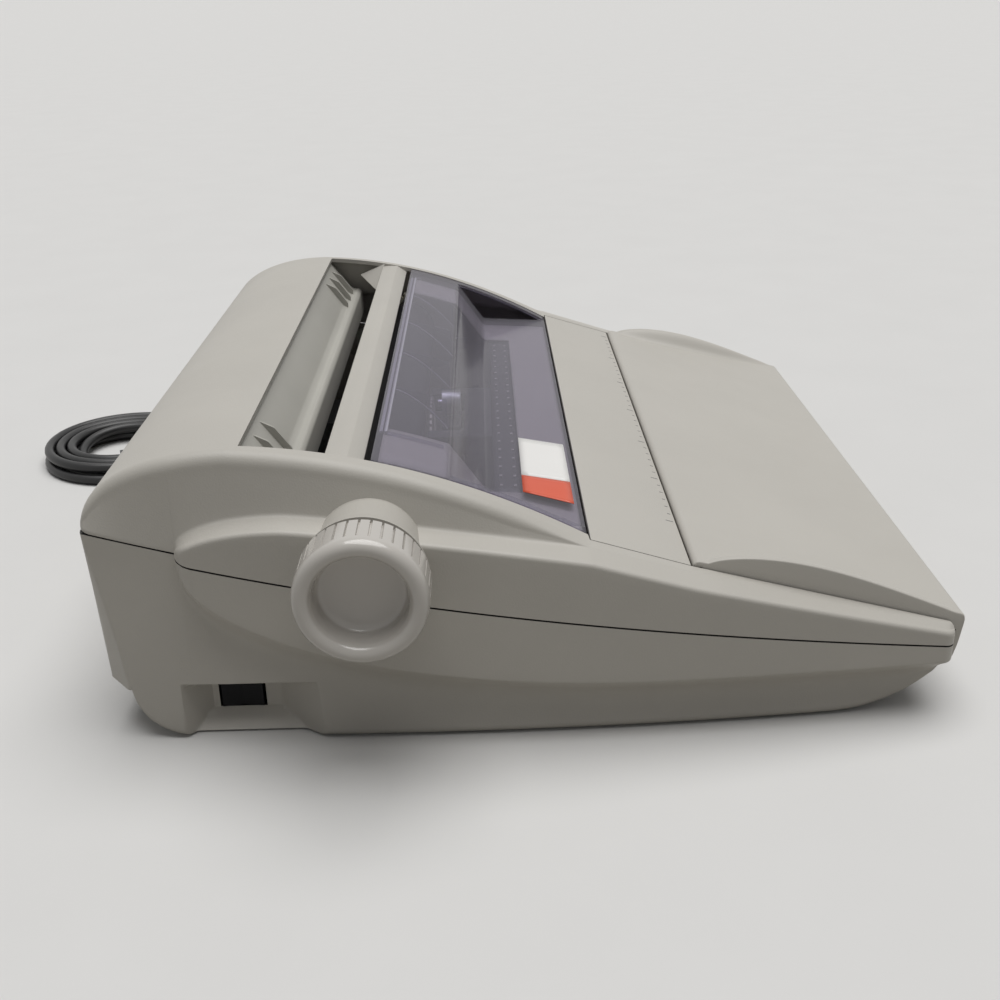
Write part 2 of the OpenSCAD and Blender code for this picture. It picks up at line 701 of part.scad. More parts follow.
// Spur gear outline: straight-flanked teeth on the pitch circle
module gear_outline(teeth) {
  pitch_r = gear_module * teeth / 2;
  step = 360 / teeth;
  polygon([for (k = [0:teeth - 1], q = [[-0.30, -1.1], [-0.15, 0.9], [0.15, 0.9], [0.30, -1.1]])
    let (a = step * (k + q[0]), rr = pitch_r + gear_module * q[1])
    [rr * cos(a), rr * sin(a)]]);
}

module spur_gear(teeth, x, y, z, bore_r, turn) {
  translate([x, y, z]) rotate([90, 0, 90]) rotate(turn)
    linear_extrude(5) difference() {
      gear_outline(teeth);
      circle(r = bore_r);
    }
}

module platen_gear() {
  color("#e4dfcf") place() spur_gear(gear_teeth, gear_x, platen_y, platen_z, shaft_d / 2 + fit, 225);
}

module line_feed_pinion() {
  color("#e4dfcf") place() union() {
    spur_gear(pinion_teeth, gear_x, pinion_y, pinion_z, 1.2, 45 + 180 / pinion_teeth);
    bar(plate_in - 10, gear_x + 6, pinion_y, pinion_z, 1.5);
  }
}

module line_feed_motor() {
  r = mesh - shaft_d / 2 - 6 - 0.6;
  color("#6f7275") place() difference() {
    union() {
      bar(plate_in - 13, plate_in, pinion_y, pinion_z, r);
      across(plate_in - 1.5, plate_in) polygon([[pinion_y - 21, pinion_z - 4],
        [pinion_y - 21, pinion_z + 4],
        [pinion_y + 10, pinion_z + 4], [pinion_y + 10, pinion_z - 4]]);
    }
    bar(plate_in - 12, plate_in + 1, pinion_y, pinion_z, 1.5 + fit);
  }
}

roller_places = [-105, -35, 35, 105];
roller_w = 24;
module feed_rollers() {
  color("#303033") place() for (x = roller_places)
    difference() {
      bar(x - roller_w / 2, x + roller_w / 2, feed_y, feed_z, feed_d / 2);
      bar(x - roller_w, x + roller_w, feed_y, feed_z, 3 + fit);
    }
}

module feed_roller_shaft() {
  color("#a9adb1") place() bar(-plate_out, plate_out, feed_y, feed_z, 3);
}

// Paper pan: a curved sheet round the underside of the platen, with a slot for each roller
module paper_pan() {
  inner = platen_d / 2 + 1;
  color("#3a3c3f") place() difference() {
    translate([-plate_in, platen_y, platen_z]) rotate([90, 0, 90])
      rotate(-150) rotate_extrude(angle = 160)
        translate([inner, 0]) square([1.2, plate_in + plate_in - 14]);
    for (x = roller_places)
      bar(x - roller_w / 2 - 1.5, x + roller_w / 2 + 1.5, feed_y, feed_z, feed_d / 2 + 1);
  }
}

// Carriage group
strike_z = platen_z - 2;
cassette_z = wheel_z + wheel_motor_r + 0.6;
module guide_shaft() {
  color("#b3b7ba") place() bar(-plate_out, plate_out, guide_y, guide_z, guide_d / 2);
}

module guide_rail() {
  color("#9a9da0") place() across(-plate_in, plate_in)
    polygon([[rail_y, rail_z], [rail_y + 6, rail_z], [rail_y + 6, rail_z + 1.5],
      [rail_y + 1.5, rail_z + 1.5],
      [rail_y + 1.5, rail_z + 6], [rail_y, rail_z + 6]]);
}

module carriage() {
  half = carriage_w / 2;
  color("#2f3134") place() difference() {
    union() {
      box(-half, half, rail_y + 9, wheel_y - 6, carriage_top - 14, carriage_top);
      box(-half, half, rail_y + 9, rail_y + 14, carriage_top - eps, rail_z + 9);
      box(-half + 6, half - 6, rail_y - 3, rail_y + 14, rail_z + 6.4, rail_z + 9);
      for (side = [-1, 1]) {
        box(side * 18 - 2, side * 18 + 2, wheel_y - 16, wheel_y - 6, carriage_top - eps, strike_z - 7);
        box(side * (half - 3) - 3, side * (half - 3) + 3, rail_y + 14, wheel_y - 18,
          carriage_top - eps, cassette_z);
      }
      box(-20, 20, wheel_y - 16, wheel_y - 6, strike_z - 10, strike_z - 7);
    }
    bar(-half - 1, half + 1, guide_y, guide_z, guide_d / 2 + fit);
  }
}

module wheel_motor() {
  color("#777a7d") place() translate([0, wheel_y - 6, wheel_z]) rotate([90, 0, 0]) difference() {
    cylinder(h = 26, r = wheel_motor_r);
    translate([0, 0, -1]) cylinder(h = 16, r = 2 + fit);
  }
}

// Print wheel: a hub with one petal for each character
module print_wheel() {
  hub_r = 10;
  step = 360 / petals;
  color("#d0cdbf") place() translate([0, wheel_y, wheel_z]) rotate([90, 0, 0]) union() {
    linear_extrude(1.2, center = true)
      polygon([for (k = [0:petals - 1], q = [[-0.3, hub_r + 2], [-0.1, hub_r + 4],
        [-0.12, wheel_r - 5], [-0.3, wheel_r - 4],
        [-0.3, wheel_r], [0.3, wheel_r], [0.3, wheel_r - 4], [0.12, wheel_r - 5], [0.1, hub_r + 4],
          [0.3, hub_r + 2]])
        let (w = q[1] < wheel_r - 4.5 && q[1] > hub_r + 3 ? q[0] * (wheel_r / q[1]) * 0.8 : q[0],
          a = step * (k + w))
        [q[1] * cos(a), q[1] * sin(a)]]);
    translate([0, 0, 0.6 - eps]) cylinder(h = 4, r = hub_r);
    cylinder(h = 16, r = 2);
  }
}

module hammer_body() {
  color("#55585b") place() translate([0, wheel_y - 6, strike_z]) rotate([90, 0, 0]) difference() {
    cylinder(h = 10, r = 7);
    translate([0, 0, -1]) cylinder(h = 8, r = 2 + fit);
  }
}

module print_hammer() {
  color("#c2c5c8") place() translate([0, wheel_y - 3.6, strike_z]) rotate([90, 0, 0]) cylinder(h = 7,
    r = 2);
}

// Ribbon cassette: a flat case with two arms that carry the ribbon past the wheel
module ribbon_cassette() {
  half = carriage_w / 2 + 8;
  z0 = cassette_z;
  z1 = deck_z - 5.5;
  color("#1f2023") place() linear_extrude_z(z0, z1) difference() {
    union() {
      translate([-half, rail_y + 5]) square([2 * half, wheel_y - 18 - rail_y - 5]);
      for (side = [-1, 1])
        translate([side * (half - 5) - 5, wheel_y - 19]) square([10, 20]);
    }
    for (side = [-1, 1])
      translate([side * half * 0.55, rail_y + 22]) circle(r = 5);
  }
}

module linear_extrude_z(z0, z1) {
  translate([0, 0, z0]) linear_extrude(z1 - z0) children();
}

// Carriage drive: a toothed belt round two pulleys
belt_y = rail_y + 9 - pulley_r - 2.3;
belt_z = carriage_top - 12;
drive_foot_z = base_z + 8;
belt_w = 6;
pulley_x = plate_in - 14;
belt_t = 1.2;
module belt_loop(r) {
  hull() for (side = [-1, 1]) translate([side * pulley_x, belt_y]) circle(r = r);
}

module carriage_belt() {
  color("#1c1c1e") place() linear_extrude_z(belt_z, belt_z + belt_w) difference() {
    belt_loop(pulley_r + run_gap + belt_t);
    belt_loop(pulley_r + run_gap);
  }
}

module pulley(x) {
  translate([x, belt_y, belt_z - 0.5]) cylinder(h = belt_w + 1, r = pulley_r);
}

module idler_pulley() {
  color("#d8d4c4") place() difference() {
    pulley(-pulley_x);
    translate([-pulley_x, belt_y, belt_z - 1]) cylinder(h = belt_w + 3, r = 2 + fit);
  }
}

module idler_post() {
  color("#9a9da0") place() translate([-pulley_x, belt_y, base_z]) union() {
    cylinder(h = belt_z - 0.8 - base_z, r = 5);
    cylinder(h = belt_z + belt_w + 2 - base_z, r = 2);
  }
}

module drive_pulley() {
  color("#d8d4c4") place() union() {
    pulley(pulley_x);
    translate([pulley_x, belt_y, drive_foot_z]) cylinder(h = belt_z + belt_w + 2 - drive_foot_z, r = 2);
  }
}

module carriage_motor() {
  color("#777a7d") place() translate([pulley_x, belt_y, base_z]) difference() {
    cylinder(h = belt_z - 2.5 - base_z, r = 13);
    translate([0, 0, drive_foot_z - base_z - 1]) cylinder(h = belt_z, r = 2 + fit);
  }
}

// Electronics on the floor behind the mechanism
board_y0 = frame_y1 + 4;
board_y1 = hood_y - rear_low_run - 2;
board_x = -120;
board_w = 180;
board_up = 4;
module main_board() {
  z = floor_z + board_up;
  color("#3c6b46") place() union() {
    box(board_x, board_x + board_w, board_y0, board_y1, z, z + 1.6);
    for (x = [board_x + 6, board_x + board_w - 6], y = [board_y0 + 4, board_y1 - 4])
      translate([x, y, floor_z]) cylinder(h = board_up + eps, r = 3);
    for (k = [0:3])
      box(board_x + 16 + board_w / 5 * k, board_x + 36 + board_w / 5 * k, board_y0 + 8, board_y0 + 18,
        z + 1.6 - eps, z + 6);
  }
}

module transformer() {
  x0 = board_x + board_w + 16;
  w = 62;
  foot = 9;
  tall = 42;
  color("#6a6d70") place() union() {
    box(x0, x0 + w, board_y0 + 2, board_y1, floor_z, floor_z + foot);
    box(x0 + 8, x0 + w - 8, board_y0 + 2, board_y1, floor_z + foot - eps, floor_z + tall);
  }
}

// Keyboard: sprung keys in a tray under the deck
tray_h = bezel_h - panel_t;
guide_h = -17;
guide_t = 3;
peg = 5;
peg_end = -22;
key_top_h = -6.2;
key_d = key_w * depth_scale;
function row_s(row) = first_row_s - row * row_step;
function row_shift(row) = [0, 0.3, 0.5, 0][row] * key_pitch * 0.5;
function row_count(row) = row_keys - (row == 0 ? 0 : 1);
function key_x(row, k) = (k - (row_count(row) - 1) / 2) * key_pitch + row_shift(row) - 0.25
  * key_pitch * (row > 0 ? 1 : 0);

module keyboard_tray() {
  half = key_area_half + 4;
  front = key_area_front - 4;
  rear = first_row_s + row_step / 2 + 5;
  color("#8b8a84") place() on_slope() difference() {
    box(-half, half, front, rear, peg_end - 4, tray_h);
    box(-half + 2.5, half - 2.5, front + 2.5, rear - 2.5, guide_h, tray_h + 1);
    box(-half + 2.5, half - 2.5, front + 2.5, rear - 2.5, peg_end - 5, guide_h - guide_t);
    for (row = [0:rows - 1], k = [0:row_count(row) - 1])
      key_hole(key_x(row, k), row_s(row));
    for (x = [-space_w / 2 + 15, space_w / 2 - 15])
      key_hole(x, row_s(rows));
  }
}

module key_hole(x, s) {
  side = peg / 2 + run_gap;
  box(x - side, x + side, s - side, s + side, guide_h - guide_t - 1, guide_h + 1);
}

module key_board() {
  half = key_area_half + 4;
  color("#5e5a3a") place() on_slope()
    box(-half, half, key_area_front - 4, first_row_s + row_step / 2 + 5, peg_end - 5.6, peg_end - 4);
}

// A key: tapered cap with a peg that slides in the tray
module key(x, s, w) {
  top = w - 4;
  foot = [for (c = [[-1, -1], [1, -1], [1, 1],
    [-1, 1]]) [x + c[0] * w / 2, s + c[1] * key_d / 2, key_top_h - key_h]];
  cap = [for (c = [[-1, -1], [1, -1], [1, 1],
    [-1, 1]]) [x + c[0] * top / 2, s + 0.6 + c[1] * (key_d - 4) / 2, key_top_h]];
  prism_loft([foot, cap]);
}

module peg_at(x, s) {
  box(x - peg / 2, x + peg / 2, s - peg / 2, s + peg / 2, peg_end, key_top_h - key_h + eps);
}

module key_row(row) {
  place() on_slope() for (k = [0:row_count(row) - 1]) union() {
    key(key_x(row, k), row_s(row), key_w);
    peg_at(key_x(row, k), row_s(row));
  }
}

module number_keys() {
  color("#d9d6ca") key_row(0);
}

module upper_letter_keys() {
  color("#d9d6ca") key_row(1);
}

module middle_letter_keys() {
  color("#d9d6ca") key_row(2);
}

module lower_letter_keys() {
  color("#d9d6ca") key_row(3);
}

module space_bar() {
  color("#d9d6ca") place() on_slope() union() {
    key(0, row_s(rows), space_w);
    for (x = [-space_w / 2 + 15, space_w / 2 - 15])
      peg_at(x, row_s(rows));
  }
}

// Power switch in the scoop of the left side
module switch_body() {
  x0 = pocket_x + 2.5;
  color("#232326") place() difference() {
    box(x0, x0 + 16, pocket_y - rocker_w / 2 - 2, pocket_y + rocker_w / 2 + 2,
      pocket_z - rocker_h / 2 - 2, pocket_z + rocker_h / 2 + 2);
    box(x0 - 1, x0 + 11, pocket_y - rocker_w / 2 - run_gap, pocket_y + rocker_w / 2 + run_gap,
      pocket_z - rocker_h / 2 - run_gap, pocket_z + rocker_h / 2 + run_gap);
    translate([x0 + 4.5, pocket_y, pocket_z - rocker_h / 2 - 3]) cylinder(h = rocker_h + 6, r = 1 + fit);
  }
}

module power_rocker() {
  x0 = pocket_x + 2.5;
  w = rocker_w / 2;
  color("#111113") place() union() {
    linear_extrude_z(pocket_z - rocker_h / 2, pocket_z + rocker_h / 2)
      polygon([[x0 - 3.2, pocket_y - w + 0.9], [x0 - 2.0, pocket_y], [x0 - 3.2, pocket_y + w - 0.9],
        [x0 + 2, pocket_y + w - 0.9],
        [x0 + 7, pocket_y + 3], [x0 + 7, pocket_y - 3], [x0 + 2, pocket_y - w + 0.9]]);
    translate([x0 + 4.5, pocket_y, pocket_z - rocker_h / 2 - 1.6]) cylinder(h = rocker_h + 3.2, r = 1);
  }
}

// Mains cord: strain relief, free stretch, stored coil and plug
coil_x = 155;
cord_z = 32;
relief_l = 26;
cord_r = cord_d / 2;
lay_z = cord_r + 0.1;
coil_y = hood_y + 84;
coil_step = cord_d + 0.9;
coil_lift = cord_d + 0.7;
half_turns = coil_turns / 2;
coil_out = coil_r + coil_step * half_turns;
cord_x = coil_x - coil_out;

module strain_relief() {
  color("#1a1a1c") place() translate([cord_x, hood_y - 2.6, cord_z]) rotate([-90, 0, 0]) difference() {
    union() {
      cylinder(h = 2.6 + relief_l, r1 = cord_r + 1.9, r2 = cord_r + 0.9);
      translate([0, 0, 2.7]) cylinder(h = 4, r = cord_r + 4);
    }
    translate([0, 0, -1]) cylinder(h = relief_l + 9, r = cord_r + fit);
  }
}

// Coil path: spirals in on the table, climbs a layer in the half turn at the middle, spirals out
function coil_radius(turn) = coil_out - coil_step * (turn < half_turns ? turn : coil_turns - turn);
function coil_height(turn) = lay_z + coil_lift * clip((turn - half_turns + 0.25) / 0.5, 0, 1);
coil_start = 180;
tail_run = 36;
tail_shift = 12;
plug_h = 14;
tail_drop = lay_z + coil_lift - plug_h / 2 - 0.1;
// An S of two equal arcs that shifts by w over the length l, at q along it
function bend_r(l, w) = (l * l + w * w) / (4 * w);
function bend(q, l, w) =
  let (r = bend_r(l, w))
  q < l / 2 ? r - sqrt(r * r - q * q) : w - r + sqrt(r * r - (l - q) * (l - q));
function coil_point(turn) =
  let (a = coil_start - 360 * turn)
  [coil_x + coil_radius(turn) * cos(a), coil_y + coil_radius(turn) * sin(a), coil_height(turn)];
coil_n = 24 * coil_turns;
coil_path = concat(
  [coil_point(0) - [0, cord_d, 0]],
  [for (i = [0:coil_n]) coil_point(i / 24)],
  [for (q = [6:6:tail_run]) coil_point(coil_turns)
    + [bend(q, tail_run, tail_shift), -q, -bend(q, tail_run, tail_drop)]],
  [coil_point(coil_turns) + [tail_shift, -tail_run - cord_d, -tail_drop]]
);
coil_gap = min([for (i = [0:coil_n - 14],
  j = [i + 14:coil_n]) norm(coil_point(i / 24) - coil_point(j / 24))]) - cord_d;
echo(least_gap_of_coil = coil_gap);

// Free stretch of the cord: out of the strain relief, down to the table in an S, and to the coil's start
fall_y = hood_y + relief_l + 1;
fall_end = coil_y - cord_d - 1;
fall_run = fall_end - fall_y;
free_path = concat(
  [[cord_x, fall_y - 10, cord_z], [cord_x, fall_y - 5, cord_z]],
  [for (k = [0:20]) [cord_x, fall_y + fall_run * k / 20, cord_z - bend(fall_run * k / 20, fall_run,
    cord_z - lay_z)]],
  [[cord_x, coil_y - cord_d, lay_z]]
);
echo(least_bend_of_cord = min(bend_r(fall_run, cord_z - lay_z), bend_r(tail_run, tail_shift), coil_r));

// A round tube swept along a path, its rings kept upright
module tube(path, r, sides) {
  m = len(path);
  function unit(v) = v / norm(v);
  function heading(i) = unit(path[min(i + 1, m - 1)] - path[max(i - 1, 0)]);
  points = [for (i = [0:m - 1])
    let (d = heading(i), u = unit(cross([0, 0, 1], d)), v = cross(d, u))
    each [for (k = [0:sides - 1]) path[i] + r * (cos(360 * (k + 0.5) / sides) * u + sin(360
      * (k + 0.5) / sides) * v)]];
  skin = [for (i = [0:m - 2], k = [0:sides - 1])
    let (j = (k + 1) % sides, a = i * sides + k, b = i * sides + j)
    each [[a, a + sides, b + sides], [a, b + sides, b]]];
  caps = [for (k = [1:sides - 2]) each [[0, k, k + 1],
    [(m - 1) * sides, (m - 1) * sides + k + 1, (m - 1) * sides + k]]];
  polyhedron(points, concat(skin, caps));
}

module power_cord() {
  color("#161618") place() tube(free_path, cord_r, 10);
}

module cord_coil() {
  color("#161618") place() tube(coil_path, cord_r, 6);
}

// Plug: a moulded two-pin body on the end of the coil
module power_plug() {
  end = coil_path[len(coil_path) - 1];
  body_l = 26;
  color("#161618") place() translate(end) rotate([90, 0, 0]) union() {
    cylinder(h = 16, r1 = cord_r + 0.8, r2 = cord_r + 2.4);
    translate([0, 0, 16 - eps]) linear_extrude(body_l) offset(3) square([19, plug_h - 6], center = true);
    for (side = [-1, 1])
      translate([side * 6.35 - 0.75, -3.1, 16 + body_l - eps]) cube([1.5, 6.2, 17]);
  }
}

upper_case();
lower_case();
knob_collar();
slot_bar();
paper_chute();
deck_panel();
keyboard_cover();
smoky_window();
rubber_feet();
chassis_plate();
left_side_plate();
right_side_plate();
platen_roller();
platen_shaft();
platen_bushes();
platen_knob();
platen_gear();
line_feed_pinion();
line_feed_motor();
feed_rollers();
feed_roller_shaft();
paper_pan();
guide_shaft();
guide_rail();
carriage();
wheel_motor();
print_wheel();
hammer_body();
print_hammer();
ribbon_cassette();
carriage_belt();
idler_pulley();
idler_post();
drive_pulley();
carriage_motor();
main_board();
transformer();
keyboard_tray();
key_board();
number_keys();
upper_letter_keys();
middle_letter_keys();
lower_letter_keys();
space_bar();
switch_body();
power_rocker();
strain_relief();
power_cord();
cord_coil();
power_plug();
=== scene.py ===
# %% [markdown]
# # A portable electronic typewriter
# The machine is a warm grey plastic case with a long pod on each flank, a paper slot across the hump, a smoky
# window over the printing works, a cover over the keys and a knob on the left end of the platen. The packed
# model gives every moving body. This lesson dresses it: each outer panel is worked out again as a smooth
# surface, and each inner part gets the finish of its material.

import bmesh
import bpy
import numpy as np
from mathutils import Matrix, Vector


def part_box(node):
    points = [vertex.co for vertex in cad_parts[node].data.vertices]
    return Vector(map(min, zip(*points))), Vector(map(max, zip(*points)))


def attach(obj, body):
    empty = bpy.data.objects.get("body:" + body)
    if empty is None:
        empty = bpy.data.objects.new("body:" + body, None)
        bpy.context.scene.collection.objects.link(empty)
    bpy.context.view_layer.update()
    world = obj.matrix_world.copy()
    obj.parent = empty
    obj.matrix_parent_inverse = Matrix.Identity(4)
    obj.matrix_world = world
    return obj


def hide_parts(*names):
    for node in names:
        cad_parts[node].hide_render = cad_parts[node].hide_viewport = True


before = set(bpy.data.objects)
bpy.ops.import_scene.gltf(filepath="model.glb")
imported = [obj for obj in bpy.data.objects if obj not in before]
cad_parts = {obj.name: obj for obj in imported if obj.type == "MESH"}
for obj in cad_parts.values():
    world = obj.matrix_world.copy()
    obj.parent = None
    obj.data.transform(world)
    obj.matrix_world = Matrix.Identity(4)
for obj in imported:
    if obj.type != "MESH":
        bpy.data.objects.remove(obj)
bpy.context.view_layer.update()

scene = bpy.context.scene
MM, MERGE = 0.001, 0.001  # a millimetre in metres, and the distance in millimetres at which points merge
CENTRE_X = 19.5  # the machine's own middle, in the part's frame, in millimetres

# %% [markdown]
# ## Camera
# The view is from the machine's left end, a little above it. The place and the three angles were solved
# from the straight edges of the case, so the render lies over the picture without any shift of the lens.

# %% Camera
yaw, pitch, roll = np.radians([-0.64, 23.66, -1.18])
ahead = np.array([np.cos(yaw) * np.cos(pitch), np.sin(yaw) * np.cos(pitch), -np.sin(pitch)])
level = np.array([np.sin(yaw), -np.cos(yaw), 0.0])
above = np.cross(level, ahead)
right = np.cos(roll) * level + np.sin(roll) * above
upward = -np.sin(roll) * level + np.cos(roll) * above
lens = bpy.data.cameras.new("camera")
lens.sensor_width, lens.lens = 36.0, 43.2
lens.clip_start, lens.clip_end = 0.01, 200.0
camera = bpy.data.objects.new("camera", lens)
scene.collection.objects.link(camera)
turned = Matrix(np.column_stack([right, upward, -ahead]).tolist()).to_4x4()
camera.matrix_world = Matrix.Translation((-0.6089, 0.01875, 0.3024)) @ turned
scene.camera = camera
print("camera at", [round(c, 3) for c in camera.location])

# %% [markdown]
# ## Finishes
# Moulded plastic is never one flat colour: the tint drifts a little over the panel, the gloss drifts with
# it, and the mould leaves a fine grain that catches the light. One function makes every finish from these
# three parts, all read from Object coordinates, so they stay put on the piece in any pose.

# %% Shader nodes
def fill(node, **values):
    """Sets a node's sockets by name, with an underscore for each space, and gives the node back."""
    for socket, value in values.items():
        node.inputs[socket.replace("_", " ")].default_value = value
    return node


def new_node(net, kind, **values):
    """A new shader node of a kind, with its sockets set."""
    return fill(net.nodes.new("ShaderNode" + kind), **values)


def join(net, *chain):
    """Links along a chain of node, output, input, node, output, input and so on, ending in a node."""
    for source, out, into, target in zip(chain[0::3], chain[1::3], chain[2::3], chain[3::3]):
        net.links.new(source.outputs[out], target.inputs[into])


def new_material(name):
    """A material, its net of nodes and its main shader."""
    mat = bpy.data.materials.new(name)
    mat.use_nodes = True
    return mat, mat.node_tree, mat.node_tree.nodes["Principled BSDF"]


# %% A finish with drift, gloss and grain
def finish(name, tint, gloss, grain=0.0, grain_scale=1400.0, drift=0.05, metal=0.0, stretch=(1, 1, 1), **sockets):
    """Principled shader: tint times (1 - drift to 1 + drift) by a slow noise, roughness gloss -0.05 to +0.06 by a
    middling noise, and a bump whose height is a fine noise. stretch draws the grain out along an axis."""
    mat, net, shader = new_material(name)
    fill(shader, Metallic=metal, **sockets)
    place, ramp = new_node(net, "TexCoord"), new_node(net, "ValToRGB")
    for stop, at, tone in zip(ramp.color_ramp.elements, (0.3, 0.7), (1 - drift, 1 + drift)):
        stop.position, stop.color = at, (*np.minimum(np.array(tint) * tone, 1), 1)
    slow = new_node(net, "TexNoise", Scale=14.0, Detail=5.0)
    join(net, place, "Object", "Vector", slow, "Fac", "Fac", ramp, "Color", "Base Color", shader)
    middling = new_node(net, "TexNoise", Scale=60.0)
    spread = new_node(net, "MapRange", To_Min=max(gloss - 0.05, 0.02), To_Max=min(gloss + 0.06, 1.0))
    join(net, place, "Object", "Vector", middling, "Fac", "Value", spread, "Result", "Roughness", shader)
    if grain:
        drawn = new_node(net, "Mapping", Scale=stretch)
        fine = new_node(net, "TexNoise", Scale=grain_scale, Detail=3.0)
        bump = new_node(net, "Bump", Strength=grain, Distance=0.0004)
        join(net, place, "Object", "Vector", drawn, "Vector", "Vector", fine, "Fac", "Height", bump)
        join(net, bump, "Normal", "Normal", shader)
    return mat


case_grey = finish("case_grey", (0.475, 0.455, 0.415), 0.48, grain=0.22, drift=0.03)
cover_grey = finish("cover_grey", (0.48, 0.46, 0.42), 0.46, grain=0.22, drift=0.025)
chute_grey = finish("chute_grey", (0.40, 0.39, 0.355), 0.5, grain=0.2)
ink_grey = finish("ink_grey", (0.11, 0.11, 0.115), 0.6, drift=0.1)
label_white = finish("label_white", (0.80, 0.79, 0.77), 0.35, drift=0.02)
label_orange = finish("label_orange", (0.66, 0.09, 0.035), 0.35, drift=0.03)
clear_edge = finish("clear_edge", (0.52, 0.52, 0.55), 0.2)
# Near-black finish for the cut rims of the lower case's wall: painted shadow that darkens the seam gap and the switch
# hole's edge
painted_seam_shadow = finish("painted_seam_shadow", (0.02, 0.019, 0.018), 0.7, drift=0.02)
knob_grey = finish("knob_grey", (0.52, 0.495, 0.46), 0.2, grain=0.03, drift=0.02, Coat_Weight=0.4)
foot_rubber = finish("foot_rubber", (0.022, 0.022, 0.024), 0.8, grain=0.35, grain_scale=900)
platen_rubber = finish("platen_rubber", (0.016, 0.016, 0.018), 0.55, grain=0.2)
shaft_steel = finish("shaft_steel", (0.52, 0.53, 0.54), 0.24, grain=0.15, metal=1.0, stretch=(0.05, 1, 1))
plated_sheet = finish("plated_sheet", (0.56, 0.56, 0.52), 0.36, grain=0.2, metal=1.0, drift=0.1)
motor_can = finish("motor_can", (0.36, 0.37, 0.38), 0.32, grain=0.15, metal=1.0, drift=0.08)
gear_nylon = finish("gear_nylon", (0.66, 0.63, 0.53), 0.42, grain=0.08)
works_black = finish("works_black", (0.02, 0.02, 0.022), 0.42, grain=0.2)
switch_black = finish("switch_black", (0.006, 0.006, 0.007), 0.4, grain=0.06, Specular_IOR_Level=0.15)
wheel_cream = finish("wheel_cream", (0.55, 0.53, 0.45), 0.38, grain=0.06)
board_laminate = finish("board_laminate", (0.07, 0.19, 0.09), 0.4, grain=0.15, drift=0.2)
core_iron = finish("core_iron", (0.16, 0.16, 0.17), 0.5, grain=0.4, metal=0.7, stretch=(1, 1, 12))
key_cream = finish("key_cream", (0.62, 0.60, 0.53), 0.42, grain=0.15)
cord_black = finish("cord_black", (0.012, 0.012, 0.013), 0.38, grain=0.1, drift=0.15)
tie_black = finish("tie_black", (0.03, 0.03, 0.033), 0.7, grain=0.4, grain_scale=2600)
print("finishes:", len(bpy.data.materials))

# %% [markdown]
# ## Surfaces from grids
# Every new piece is a grid of points, computed as one array, and the quads between neighbouring points.
# Closed pieces have their doubles merged and their faces turned outwards. An open panel keeps the order
# of its grid, because the wall that Solidify gives it has to grow inwards.

# %% Grids into meshes
def stacked(*axes):
    """Coordinates, spread over one another where they are fewer, as points."""
    return np.stack(np.broadcast_arrays(*axes), -1)


def unit(v):
    """Vectors, one per row, brought to length 1."""
    return v / np.linalg.norm(v, axis=1, keepdims=True)


def turn_angles(n):
    """n even angles round a full turn."""
    return np.linspace(0, 2 * np.pi, n, endpoint=False)


def grid_quads(rows, cols, wrap=False):
    """Quads of a grid stored row by row; wrap joins the last column to the first. They face columns x rows."""
    r = np.arange(rows - 1)[:, None]
    c = np.arange(cols if wrap else cols - 1)[None, :]
    a, b = r * cols + c, r * cols + (c + 1) % cols
    return stacked(a, b, b + cols, a + cols).reshape(-1, 4)


def capped(rows, cols):
    """Faces of a grid that is wrapped into a tube, with both its ends closed."""
    first = np.arange(cols)
    return [*grid_quads(rows, cols, True), first[::-1], first + (rows - 1) * cols]


def piece(name, points, faces, material, body, slot, closed=True, wall=0.0, bevel=0.0, angle=34.0):
    """A mesh from points in machine millimetres. wall grows inwards from the drawn skin and bevel rounds edges
    sharper than the angle; both are in millimetres."""
    mesh = bpy.data.meshes.new(name)
    xyz = (np.asarray(points, float).reshape(-1, 3) + [CENTRE_X, 0, 0]) * MM
    mesh.from_pydata(xyz.tolist(), [], [list(map(int, f)) for f in faces])
    work = bmesh.new()
    work.from_mesh(mesh)
    bmesh.ops.remove_doubles(work, verts=work.verts, dist=MERGE * MM)
    bmesh.ops.dissolve_degenerate(work, edges=work.edges, dist=MERGE * MM)
    bmesh.ops.delete(work, geom=[v for v in work.verts if not v.link_faces], context="VERTS")
    if closed:
        bmesh.ops.recalc_face_normals(work, faces=work.faces)
    work.to_mesh(mesh)
    work.free()
    mesh.shade_smooth()
    mesh.set_sharp_from_angle(angle=np.radians(angle))
    mesh.materials.append(material)
    obj = bpy.data.objects.new(name, mesh)
    scene.collection.objects.link(obj)
    if wall:
        thick = obj.modifiers.new("wall", "SOLIDIFY")
        thick.thickness, thick.offset = wall * MM, -1.0
    if bevel:
        edge = obj.modifiers.new("edge", "BEVEL")
        edge.width, edge.segments, edge.limit_method = bevel * MM, 2, "ANGLE"
        edge.angle_limit = np.radians(angle)
        edge.harden_normals = True
    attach(obj, body)
    return obj


# %% Tubes, outlines and turned forms
def tube(path, radius, sides):
    """A round tube along a path that is never upright: rings of level and upward directions across the heading."""
    path = np.asarray(path, float)
    d = unit(np.gradient(path, axis=0))
    u = unit(np.cross([0, 0, 1], d))
    v, a = np.cross(d, u), turn_angles(sides)[None, :, None]
    ring = path[:, None] + radius * (np.cos(a) * u[:, None] + np.sin(a) * v[:, None])
    return ring.reshape(-1, 3), capped(len(path), sides)


def corner(a, p, b, reach, n):
    """Curve that rounds the corner p between a and b, starting `reach` along both edges."""
    def toward(q):
        d = q - p
        span = np.linalg.norm(d, axis=1, keepdims=True)
        return p + d * np.minimum(reach, 0.45 * span) / np.maximum(span, 1e-9)
    t = np.linspace(0, 1, n)[None, :, None]
    return (1 - t) ** 2 * toward(a)[:, None] + 2 * t * (1 - t) * p[:, None] + t * t * toward(b)[:, None]


